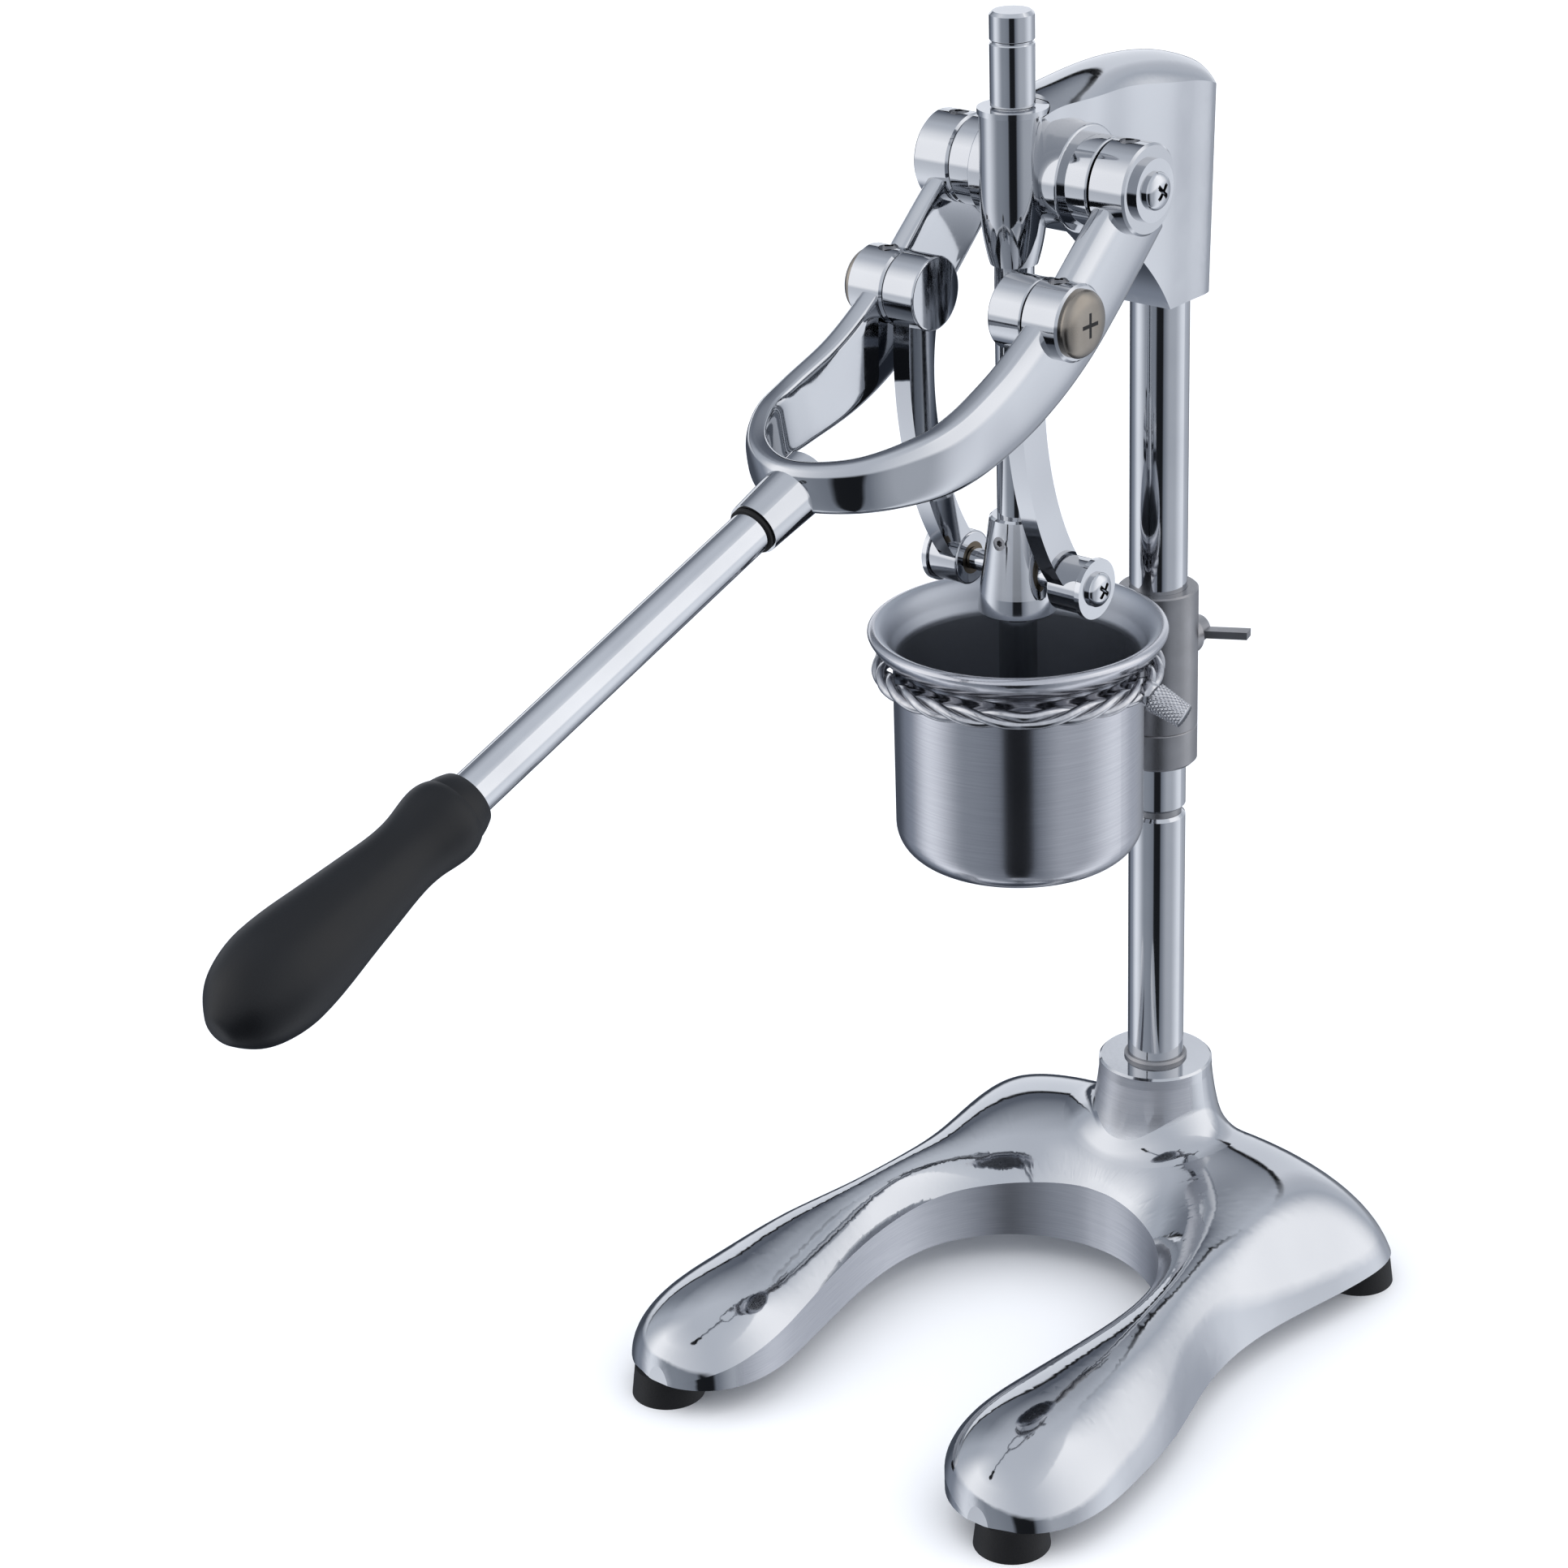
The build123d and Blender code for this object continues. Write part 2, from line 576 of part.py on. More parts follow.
def fork_path(side):
    """Points down one arm from the shaft to just beside the socket, with the arm's depth and thickness there."""
    x = FORK_ARM_X
    front_y, front_z = FORK_FRONT
    straight = []
    span_y = PIVOT_B[0] - PIVOT_A[0]
    span_z = PIVOT_B[1] - PIVOT_A[1]
    drop = FORK_DROP / math.hypot(span_y, span_z)
    for share in (0, 0.2, 0.4, 0.6, 0.8, 1):
        y = PIVOT_A[0] + share * span_y - drop * span_z
        z = PIVOT_A[1] + share * span_z + drop * span_y
        straight.append(((side * x, y, z), FORK_DEPTH, FORK_THICK))
    return straight + [
        ((side * (x - 0.8), front_y + 87.6, front_z + 20.0), FORK_DEPTH - 1.0, FORK_THICK),
        ((side * (x - 0.4), front_y + 64.5, front_z + 14.4), FORK_DEPTH - 2.0, FORK_THICK),
        ((side * (x + 0.2), front_y + 43.1, front_z + 7.6), FORK_DEPTH - 3.0, FORK_THICK),
        ((side * (x - 3.0), front_y + 29.9, front_z + 5.2), FORK_DEPTH - 5.0, FORK_THICK - 1.8),
        ((side * (x - 14.0), front_y + 11.0, front_z + 0.8), FORK_FRONT_DEPTH + 1.5, FORK_FRONT_THICK + 0.5),
    ]


def make_fork():
    """The lever fork, bored for the shaft, the link pins, the grub screws and the handle tube."""
    front = ((0, *FORK_FRONT), FORK_FRONT_DEPTH, FORK_FRONT_THICK)
    path = fork_path(-1) + [front] + fork_path(1)[::-1]
    points = [Vector(*point) for point, depth, thick in path]
    slices = []
    for i, (point, depth, thick) in enumerate(path):
        before = points[max(i - 1, 0)]
        after = points[min(i + 1, len(points) - 1)]
        slices.append(fork_slice(point, tuple((after - before).normalized()), depth, thick))
    body = loft(slices)
    boss_length = FORK_OUTER_X - FORK_INNER_X
    for side in (-1, 1):
        inner = side * FORK_INNER_X
        body += boss((inner, *PIVOT_A), (side, 0, 0), FORK_BOSS_A, boss_length)
        body += boss((inner, *PIVOT_B), (side, 0, 0), FORK_BOSS_B, boss_length)
    back = tuple(-d for d in handle_way)
    body += cone(along_handle(0), back, SOCKET_END_RADIUS, SOCKET_RADIUS, SOCKET_LENGTH)
    body -= bar(along_handle(0), back, TUBE_RADIUS, TUBE_INSERT)
    for side in (-1, 1):
        inner = side * (FORK_INNER_X - 1)
        body -= bar((inner, *PIVOT_A), (side, 0, 0), PIVOT_RADIUS, boss_length + 2)
        body -= bar((inner, *PIVOT_B), (side, 0, 0), PIVOT_RADIUS, boss_length + 2)
        for y, z in (PIVOT_A, PIVOT_B):
            body -= bar((side * FORK_ARM_X, y, z), (0, 0, 1), FORK_GRUB_RADIUS, 2 * FORK_BOSS_A)
    return body


save("fork_casting", make_fork())
grubs = []
for side in (-1, 1):
    for (pivot_y, pivot_z), boss_radius in ((PIVOT_A, FORK_BOSS_A), (PIVOT_B, FORK_BOSS_B)):
        foot = (side * FORK_ARM_X, pivot_y, pivot_z + PIVOT_RADIUS)
        length = boss_radius - PIVOT_RADIUS - FORK_GRUB_SINK
        grubs.append(grub(foot, (0, 0, 1), FORK_GRUB_RADIUS, length))
save("fork_set_screws", *grubs)

# Main shaft through head and fork, its washers and end screws
shaft_end = FORK_OUTER_X - 0.4
shaft = bar((-shaft_end, *PIVOT_A), (1, 0, 0), PIVOT_RADIUS, 2 * shaft_end)
for side in (-1, 1):
    shaft -= bar((side * shaft_end, *PIVOT_A), (-side, 0, 0), CAP_SCREW_RADIUS, CAP_SCREW_LENGTH)
save("pivot_shaft", shaft)
pivot_washers = []
pivot_screws = []
for side in (-1, 1):
    face = (side * FORK_OUTER_X, *PIVOT_A)
    seat = (side * (FORK_OUTER_X + PIVOT_WASHER_THICK), *PIVOT_A)
    way = (side, 0, 0)
    pivot_washers.append(tube(face, way, PIVOT_WASHER_RADIUS, CAP_SCREW_RADIUS, PIVOT_WASHER_THICK))
    pivot_screws.append(
        pan_screw(seat, way, PIVOT_HEAD_RADIUS, PIVOT_HEAD_HEIGHT, CAP_SCREW_RADIUS, CAP_SCREW_LENGTH)
    )
save("pivot_washers", *pivot_washers)
save("pivot_screws", *pivot_screws)

# Link pins fixed in the fork, each closed by a broad domed screw
pin_end = FORK_OUTER_X - 1.0
link_pins = []
pin_caps = []
for side in (-1, 1):
    way = (side, 0, 0)
    pin = bar((side * KNUCKLE_INNER_X, *PIVOT_B), way, PIVOT_RADIUS, pin_end - KNUCKLE_INNER_X)
    pin -= bar((side * pin_end, *PIVOT_B), (-side, 0, 0), CAP_SCREW_RADIUS, CAP_SCREW_LENGTH)
    link_pins.append(pin)
    face = (side * FORK_OUTER_X, *PIVOT_B)
    pin_caps.append(pan_screw(face, way, CAP_HEAD_RADIUS, CAP_HEAD_HEIGHT, CAP_SCREW_RADIUS, CAP_SCREW_LENGTH))
save("link_pins", *link_pins)
save("link_pin_caps", *pin_caps)

# Handle: steel tube, rubber ring at the socket, collar and swelling grip
handle = tube(along_handle(-TUBE_INSERT), handle_way, TUBE_RADIUS, TUBE_RADIUS - TUBE_WALL, TUBE_INSERT + TUBE_REACH)
save("handle_tube", handle)
ring_radius = TUBE_RADIUS + RING_SECTION
ring_points = [
    (TUBE_RADIUS, 0),
    (ring_radius - 0.3 * RING_SECTION, 0),
    (ring_radius, 0.3 * RING_SECTION),
    (ring_radius, 1.4 * RING_SECTION),
    (ring_radius - 0.3 * RING_SECTION, 1.7 * RING_SECTION),
    (TUBE_RADIUS, 1.7 * RING_SECTION),
]
save("handle_ring", turned(polygon(*ring_points), along_handle(0), handle_way))
collar_lines = [
    Line((TUBE_RADIUS, 0), (GRIP_COLLAR_RADIUS - 1.2, 0)),
    Spline(
        (GRIP_COLLAR_RADIUS - 1.2, 0),
        (GRIP_COLLAR_RADIUS, 0.45 * GRIP_COLLAR_LENGTH),
        (GRIP_COLLAR_RADIUS + 0.8, GRIP_COLLAR_LENGTH),
    ),
    Line((GRIP_COLLAR_RADIUS + 0.8, GRIP_COLLAR_LENGTH), (TUBE_RADIUS, GRIP_COLLAR_LENGTH)),
    Line((TUBE_RADIUS, GRIP_COLLAR_LENGTH), (TUBE_RADIUS, 0)),
]
save("grip_collar", turned(collar_lines, along_handle(COLLAR_START), handle_way))
grip_start = COLLAR_START + GRIP_COLLAR_LENGTH
bore_end = TUBE_REACH - grip_start
swell_at = 0.74 * GRIP_LENGTH


def grip_end(step):
    """A point on the quarter ellipse that rounds off the end of the grip, in four steps."""
    if step == 4:
        return (0, GRIP_LENGTH)
    angle = step * math.pi / 8
    return (GRIP_SWELL_RADIUS * math.cos(angle), swell_at + (GRIP_LENGTH - swell_at) * math.sin(angle))


grip_lines = [
    Line((TUBE_RADIUS, 0), (GRIP_FRONT_RADIUS - 0.6, 0)),
    Spline(
        (GRIP_FRONT_RADIUS - 0.6, 0),
        (GRIP_FRONT_RADIUS, 1.5),
        (GRIP_NECK_RADIUS, 0.15 * GRIP_LENGTH),
        (GRIP_NECK_RADIUS + 0.9, 0.34 * GRIP_LENGTH),
        (GRIP_SWELL_RADIUS - 2.3, 0.52 * GRIP_LENGTH),
        (GRIP_SWELL_RADIUS - 0.45, 0.66 * GRIP_LENGTH),
        (GRIP_SWELL_RADIUS, swell_at),
    ),
    Spline(*[grip_end(step) for step in range(5)], tangents=((0, 1), (-1, 0))),
    Line((0, GRIP_LENGTH), (0, bore_end)),
    Line((0, bore_end), (TUBE_RADIUS, bore_end)),
    Line((TUBE_RADIUS, bore_end), (TUBE_RADIUS, 0)),
]
save("grip", turned(grip_lines, along_handle(grip_start), handle_way))


# Links: bowed bars hung on the fork pins, each with a round knuckle above and an eye below
def make_link(side):
    """One bowed link with its knuckle, bar and lower eye."""
    top = Vector(*PIVOT_B)
    foot = Vector(ROD_Y, PIVOT_C_Z)
    way = (foot - top).normalized()
    out = Vector(way.Y, -way.X)
    half = LINK_WIDTH / 2
    middle = (top + foot) * 0.5
    upper = top * 0.75 + foot * 0.25
    lower = top * 0.25 + foot * 0.75
    front = [top + out * LINK_TOP_FRONT, upper + out * (0.8 * LINK_BOW + half), middle + out * (LINK_BOW + half)]
    front += [lower + out * (0.8 * LINK_BOW + half), foot + out * half]
    rear = [foot - out * half, lower + out * (0.8 * LINK_BOW - half), middle + out * (LINK_BOW - half)]
    rear += [upper + out * (0.8 * LINK_BOW - half - 1.2), top - out * LINK_TOP_REAR]
    lines = [
        Spline(*[(p.X, p.Y) for p in front]),
        Line((front[-1].X, front[-1].Y), (rear[0].X, rear[0].Y)),
        Spline(*[(p.X, p.Y) for p in rear]),
        Line((rear[-1].X, rear[-1].Y), (front[0].X, front[0].Y)),
    ]
    outline = make_face([edge for line in lines for edge in line.edges()])
    start = LINK_INNER_X if side > 0 else -LINK_OUTER_X
    body = Pos(start, 0, 0) * extrude(Plane.YZ * outline, LINK_OUTER_X - LINK_INNER_X)
    knuckle_length = FORK_INNER_X - CLEAR - KNUCKLE_INNER_X
    knuckle = (side * KNUCKLE_INNER_X, *PIVOT_B)
    eye = (side * EYE_INNER_X, ROD_Y, PIVOT_C_Z)
    body += boss(knuckle, (side, 0, 0), KNUCKLE_RADIUS, knuckle_length)
    body += boss(eye, (side, 0, 0), EYE_RADIUS, EYE_OUTER_X - EYE_INNER_X)
    body -= bar((0, *PIVOT_B), (side, 0, 0), PIVOT_RADIUS + RUNNING, FORK_OUTER_X)
    return body - bar((0, ROD_Y, PIVOT_C_Z), (side, 0, 0), EYE_BUSH_RADIUS, FORK_OUTER_X)


for side, side_name in ((1, "right"), (-1, "left")):
    way = (side, 0, 0)
    eye = (side * EYE_INNER_X, ROD_Y, PIVOT_C_Z)
    face = (side * EYE_OUTER_X, ROD_Y, PIVOT_C_Z)
    seat = (side * (EYE_OUTER_X + EYE_WASHER_THICK), ROD_Y, PIVOT_C_Z)
    eye_length = EYE_OUTER_X - EYE_INNER_X
    save("link_" + side_name, make_link(side))
    save("eye_bush_" + side_name, tube(eye, way, EYE_BUSH_RADIUS, EYE_SCREW_RADIUS, eye_length))
    save("eye_washer_" + side_name, tube(face, way, EYE_WASHER_RADIUS, EYE_SCREW_RADIUS, EYE_WASHER_THICK))
    shank = EYE_WASHER_THICK + eye_length
    save("eye_screw_" + side_name, pan_screw(seat, way, EYE_HEAD_RADIUS, EYE_HEAD_HEIGHT, EYE_SCREW_RADIUS, shank))

# Press rod with its stop sleeve and cap above, and the crosshead that the links drive
CUP_INNER = CUP_RADIUS - CUP_WALL
DIE_LOW = CUP_BOTTOM + CUP_WALL
PISTON_LOW = DIE_LOW + DIE_THICK + 0.5
PISTON_HIGH = PISTON_LOW + PISTON_HEIGHT
NUT_HIGH = PISTON_LOW + PISTON_NUT_HEIGHT + 0.6
STUD_LOW = PISTON_LOW + 0.4
rod = bar((0, ROD_Y, PISTON_HIGH), (0, 0, 1), ROD_RADIUS, ROD_TOP - PISTON_HIGH)
rod += bar((0, ROD_Y, STUD_LOW), (0, 0, 1), PISTON_STUD_RADIUS, PISTON_HIGH - STUD_LOW + 1)
cross = bar((-EYE_OUTER_X, ROD_Y, PIVOT_C_Z), (1, 0, 0), CROSS_SHAFT_RADIUS, 2 * EYE_OUTER_X)
rod -= cross
rod -= bar((0, ROD_Y, ROD_TOP), (0, 0, -1), CAP_SPIGOT, CAP_LENGTH)
save("press_rod", rod)
stop_points = [
    (ROD_RADIUS, STOP_LOW),
    (STOP_RADIUS - 0.4, STOP_LOW),
    (STOP_RADIUS, STOP_LOW + 0.4),
    (STOP_RADIUS, STOP_LOW + STOP_LENGTH - 0.4),
    (STOP_RADIUS - 0.4, STOP_LOW + STOP_LENGTH),
    (ROD_RADIUS, STOP_LOW + STOP_LENGTH),
]
save("rod_stop_sleeve", turned(polygon(*stop_points), (0, ROD_Y, 0)))
cap_points = [
    (0, ROD_TOP - CAP_LENGTH + 1),
    (CAP_SPIGOT, ROD_TOP - CAP_LENGTH + 1),
    (CAP_SPIGOT, ROD_TOP),
    (STOP_RADIUS - 0.4, ROD_TOP),
    (STOP_RADIUS, ROD_TOP + 0.4),
    (STOP_RADIUS, ROD_TOP + CAP_LENGTH - 1.2),
    (STOP_RADIUS - 1.2, ROD_TOP + CAP_LENGTH),
    (0, ROD_TOP + CAP_LENGTH),
]
save("rod_cap", turned(polygon(*cap_points), (0, ROD_Y, 0)))
head_points = [
    (ROD_RADIUS, CROSSHEAD_LOW),
    (CROSSHEAD_LOW_RADIUS - 1.0, CROSSHEAD_LOW),
    (CROSSHEAD_LOW_RADIUS, CROSSHEAD_LOW + 1.0),
    (CROSSHEAD_LOW_RADIUS - 0.6, CROSSHEAD_LOW + 8.0),
    (CROSSHEAD_HIGH_RADIUS, CROSSHEAD_HIGH - 0.8),
    (CROSSHEAD_HIGH_RADIUS - 0.8, CROSSHEAD_HIGH),
    (ROD_RADIUS, CROSSHEAD_HIGH),
]
cross_screw_z = PIVOT_C_Z + 3.2 * CROSS_SHAFT_RADIUS
cross_screw_start = (0, ROD_Y - ROD_RADIUS, cross_screw_z)
crosshead = turned(polygon(*head_points), (0, ROD_Y, 0)) - cross
crosshead -= bar(cross_screw_start, (0, -1, 0), CROSS_SCREW_RADIUS, CROSSHEAD_LOW_RADIUS)
save("crosshead", crosshead)
save("crosshead_set_screw", grub(cross_screw_start, (0, -1, 0), CROSS_SCREW_RADIUS, 3.4))
cross_end = EYE_INNER_X - CLEAR
save("cross_shaft", bar((-cross_end, ROD_Y, PIVOT_C_Z), (1, 0, 0), CROSS_SHAFT_RADIUS, 2 * cross_end))

# Piston on the rod's lower stud, with its seal and nut
piston_radius = CUP_INNER - CLEAR
corner = CUP_CORNER - CUP_WALL
seal_low = PISTON_HIGH - 2 * SEAL_HEIGHT
piston_lines = [
    Line((0, PISTON_LOW), (piston_radius - 0.55 * corner, PISTON_LOW)),
    Spline(
        (piston_radius - 0.55 * corner, PISTON_LOW),
        (piston_radius - 0.09 * corner, PISTON_LOW + 0.42 * corner),
        (piston_radius, PISTON_LOW + 0.8 * corner),
        tangents=((1, 0.2), (0, 1)),
    ),
    Line((piston_radius, PISTON_LOW + 0.8 * corner), (piston_radius, PISTON_HIGH)),
    Line((piston_radius, PISTON_HIGH), (0, PISTON_HIGH)),
    Line((0, PISTON_HIGH), (0, PISTON_LOW)),
]
piston = turned(piston_lines, (0, ROD_Y, 0))
groove_radius = piston_radius - SEAL_DEPTH
piston -= tube((0, ROD_Y, seal_low), (0, 0, 1), piston_radius + 1, groove_radius, SEAL_HEIGHT)
piston -= bar((0, ROD_Y, PISTON_LOW), (0, 0, 1), PISTON_NUT_RADIUS + CLEAR, NUT_HIGH - PISTON_LOW)
piston -= bar((0, ROD_Y, PISTON_LOW), (0, 0, 1), PISTON_STUD_RADIUS, PISTON_HEIGHT)
save("piston", piston)
save("piston_seal", tube((0, ROD_Y, seal_low), (0, 0, 1), CUP_INNER - RUNNING, groove_radius, SEAL_HEIGHT))
nut = extrude(Pos(0, ROD_Y, NUT_HIGH - PISTON_NUT_HEIGHT) * RegularPolygon(PISTON_NUT_RADIUS, 6), PISTON_NUT_HEIGHT)
save("piston_nut", nut - bar((0, ROD_Y, PISTON_LOW), (0, 0, 1), PISTON_STUD_RADIUS, PISTON_HEIGHT))


# Cup: a drawn steel pot with a flared, rolled rim, open below round the die plate
def cup_corner(inset):
    """The rounded corner between the cup's wall and its floor, offset inwards by inset."""
    centre = Vector(CUP_RADIUS - CUP_CORNER, CUP_BOTTOM + CUP_CORNER)
    reach = CUP_CORNER - inset
    middle = (centre.X + reach * math.cos(math.pi / 4), centre.Y - reach * math.sin(math.pi / 4))
    return ThreePointArc((centre.X, centre.Y - reach), middle, (centre.X + reach, centre.Y))


def make_cup():
    """The cup, spun from its wall section."""
    floor_radius = CUP_RADIUS - CUP_CORNER
    opening = floor_radius - DIE_SEAT
    wall_low = CUP_BOTTOM + CUP_CORNER
    mouth = CUP_RIM_RADIUS - 5.6
    lines = [
        Line((opening, CUP_BOTTOM), (floor_radius, CUP_BOTTOM)),
        cup_corner(0),
        Line((CUP_RADIUS, wall_low), (CUP_RADIUS, CUP_NECK)),
        Spline(
            (CUP_RADIUS, CUP_NECK),
            (CUP_RADIUS + 3.2, CUP_NECK + 4.2),
            (CUP_RIM_RADIUS - 0.6, CUP_RIM_Z - 2.0),
            (CUP_RIM_RADIUS, CUP_RIM_Z),
            (CUP_RIM_RADIUS - 1.6, CUP_RIM_Z + 1.6),
            (mouth, CUP_RIM_Z - 0.6),
            (CUP_INNER + 1.6, CUP_NECK + 4.6),
            (CUP_INNER, CUP_NECK),
            tangents=((0, 1), (0, -1)),
        ),
        Line((CUP_INNER, CUP_NECK), (CUP_INNER, wall_low)),
        cup_corner(CUP_WALL),
        Line((floor_radius, DIE_LOW), (opening, DIE_LOW)),
        Line((opening, DIE_LOW), (opening, CUP_BOTTOM)),
    ]
    return turned(lines, (0, ROD_Y, 0))


save("cup", make_cup())


# Die plate: the loose disc with the round holes that shape what is pressed through
def make_die():
    """The die plate with a hexagonal field of holes."""
    plate = bar((0, ROD_Y, DIE_LOW), (0, 0, 1), CUP_RADIUS - CUP_CORNER, DIE_THICK)
    row_step = DIE_PITCH * math.sqrt(3) / 2
    for row in (-2, -1, 0, 1, 2):
        count = 5 - abs(row)
        for column in range(count):
            x = (column - (count - 1) / 2) * DIE_PITCH
            plate -= bar((x, ROD_Y + row * row_step, DIE_LOW), (0, 0, 1), DIE_HOLE_RADIUS, DIE_THICK)
    return plate


save("die_plate", make_die())

# Carrier ring round the cup, with a small boss for the clamp screw
side_angle = math.radians(CLAMP_SIDE)
down_angle = math.radians(CLAMP_DROP)
clamp_out = (math.cos(side_angle), math.sin(side_angle))
clamp_way = (
    clamp_out[0] * math.cos(down_angle),
    clamp_out[1] * math.cos(down_angle),
    -math.sin(down_angle),
)
clamp_seat = (RING_RADIUS * clamp_out[0], ROD_Y + RING_RADIUS * clamp_out[1], RING_Z)


def along_clamp(distance):
    """A point on the clamp screw's centre line, counted outwards from the ring."""
    return tuple(p + distance * d for p, d in zip(clamp_seat, clamp_way))


ring = Pos(0, ROD_Y, RING_Z) * Torus(RING_RADIUS, RING_WIRE)
clamp_boss = bar(along_clamp(0), clamp_way, CLAMP_BOSS_RADIUS, CLAMP_BOSS_END)
carrier_ring = ring + clamp_boss - bar(along_clamp(-2 * RING_WIRE), clamp_way, CLAMP_RADIUS + RUNNING, 2 * RING_WIRE + CLAMP_BOSS_END)
save("carrier_ring", carrier_ring)

# Carrier sleeve on the column, with the arm to the ring and the boss for the wing bolt
sleeve_points = [
    (COLUMN_RADIUS + RUNNING, SLEEVE_LOW),
    (SLEEVE_RADIUS - 1.2, SLEEVE_LOW),
    (SLEEVE_RADIUS, SLEEVE_LOW + 1.2),
    (SLEEVE_RADIUS, SLEEVE_SEAM - SEAM_DEPTH),
    (SLEEVE_RADIUS - SEAM_DEPTH, SLEEVE_SEAM),
    (SLEEVE_RADIUS, SLEEVE_SEAM + SEAM_DEPTH),
    (SLEEVE_RADIUS, SLEEVE_HIGH - 0.6),
    (SLEEVE_RADIUS - 0.6, SLEEVE_HIGH),
    (COLUMN_RADIUS + RUNNING, SLEEVE_HIGH),
]
arm_start = -(COLUMN_RADIUS + 1.5)
arm_end = ROD_Y + RING_RADIUS
arm_size = (CARRIER_ARM_WIDTH, arm_start - arm_end, CARRIER_ARM_HEIGHT)
arm = Pos(0, arm_start, SLEEVE_HIGH - 0.5) * Box(*arm_size, align=(Align.CENTER, Align.MAX, Align.MAX))
sleeve = turned(polygon(*sleeve_points)) + (arm - ring)
sleeve += bar((0, COLUMN_RADIUS + 1.5, WING_Z), (0, 1, 0), WING_BOSS_RADIUS, WING_BOSS_END - COLUMN_RADIUS - 1.5)
sleeve -= bar((0, COLUMN_RADIUS - 1, WING_Z), (0, 1, 0), WING_BOLT_RADIUS + RUNNING, WING_BOSS_END)
save("carrier_sleeve", sleeve)

# Clamp screw: a plain shank to the cup wall and a tapered, ribbed finger grip
clamp_tip = -2.6
clamp_head = CLAMP_BOSS_END + CLEAR
clamp_screw = bar(along_clamp(clamp_tip), clamp_way, CLAMP_RADIUS, clamp_head - clamp_tip)
clamp_screw += cone(along_clamp(clamp_head), clamp_way, CLAMP_HEAD_RADIUS, CLAMP_HEAD_END, CLAMP_HEAD_LENGTH)
save("cup_clamp_screw", clamp_screw)

# Wing bolt: a round hub on its shank with two swept wings
hub_low = WING_BOSS_END + CLEAR
hub_high = hub_low + WING_HUB_LENGTH
wing_tip = hub_high + WING_SWEEP
wing_lines = polygon(
    (-WING_SPAN, wing_tip),
    (-WING_SPAN - 1.5, wing_tip - 5.0),
    (-0.6 * WING_HUB_RADIUS, hub_low + 1.0),
    (0.6 * WING_HUB_RADIUS, hub_low + 1.0),
    (WING_SPAN + 1.5, wing_tip - 5.0),
    (WING_SPAN, wing_tip),
    (0.8 * WING_HUB_RADIUS, hub_high - 0.5),
    (-0.8 * WING_HUB_RADIUS, hub_high - 0.5),
)
wings = Pos(0, 0, WING_Z) * extrude(make_face(wing_lines[0].edges()), WING_THICK / 2, both=True)
shank_low = COLUMN_RADIUS + CLEAR
wing_bolt = bar((0, shank_low, WING_Z), (0, 1, 0), WING_BOLT_RADIUS, hub_low - shank_low)
wing_bolt += cone((0, hub_low, WING_Z), (0, 1, 0), WING_HUB_RADIUS, 0.8 * WING_HUB_RADIUS, WING_HUB_LENGTH)
save("wing_bolt", wing_bolt + wings)
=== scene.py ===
import math

import bpy
from mathutils import Matrix, Vector


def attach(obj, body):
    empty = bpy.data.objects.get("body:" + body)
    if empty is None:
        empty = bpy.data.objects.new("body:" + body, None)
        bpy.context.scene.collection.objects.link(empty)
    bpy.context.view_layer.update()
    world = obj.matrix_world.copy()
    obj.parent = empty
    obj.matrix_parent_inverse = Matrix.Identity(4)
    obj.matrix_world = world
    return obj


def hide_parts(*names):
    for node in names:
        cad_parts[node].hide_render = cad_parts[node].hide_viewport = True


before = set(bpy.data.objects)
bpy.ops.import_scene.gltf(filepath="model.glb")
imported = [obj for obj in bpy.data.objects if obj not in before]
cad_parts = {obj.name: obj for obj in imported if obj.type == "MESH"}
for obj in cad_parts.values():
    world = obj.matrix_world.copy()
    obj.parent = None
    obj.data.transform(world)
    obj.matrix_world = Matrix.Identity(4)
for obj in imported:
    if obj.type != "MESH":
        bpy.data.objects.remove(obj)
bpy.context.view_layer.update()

# Base: a horseshoe cast in aluminium, with a hub at its back for the column, and buffed on a wheel.
# Buffing leaves a mirror with a soft unevenness a few centimetres wide and faint rub marks.
# The wall of the arch is only brushed, along its length.
def linear(code):
    """An sRGB hex colour as linear red, green, blue and alpha."""
    parts = [int(code[i : i + 2], 16) / 255 for i in (1, 3, 5)]
    return [p / 12.92 if p <= 0.04045 else ((p + 0.055) / 1.055) ** 2.4 for p in parts] + [1.0]


def add(tree, kind, sockets=None, links=None, **settings):
    """Adds one node with its settings, its socket values and its links."""
    made = tree.nodes.new(kind)
    for name, value in settings.items():
        setattr(made, name, value)
    for name, value in (sockets or {}).items():
        made.inputs[name].default_value = value
    for name, source in (links or {}).items():
        tree.links.new(source, made.inputs[name])
    return made


def finish_tree(name, build):
    """A material whose node tree is filled in by build."""
    material = bpy.data.materials.new(name)
    material.use_nodes = True
    material.node_tree.nodes.clear()
    shader = build(material.node_tree)
    add(material.node_tree, "ShaderNodeOutputMaterial", links={"Surface": shader.outputs[0]})
    return material


def dress(material, *names):
    """Gives CAD pieces their finish."""
    for name in names:
        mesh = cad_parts[name].data
        mesh.materials.clear()
        mesh.materials.append(material)


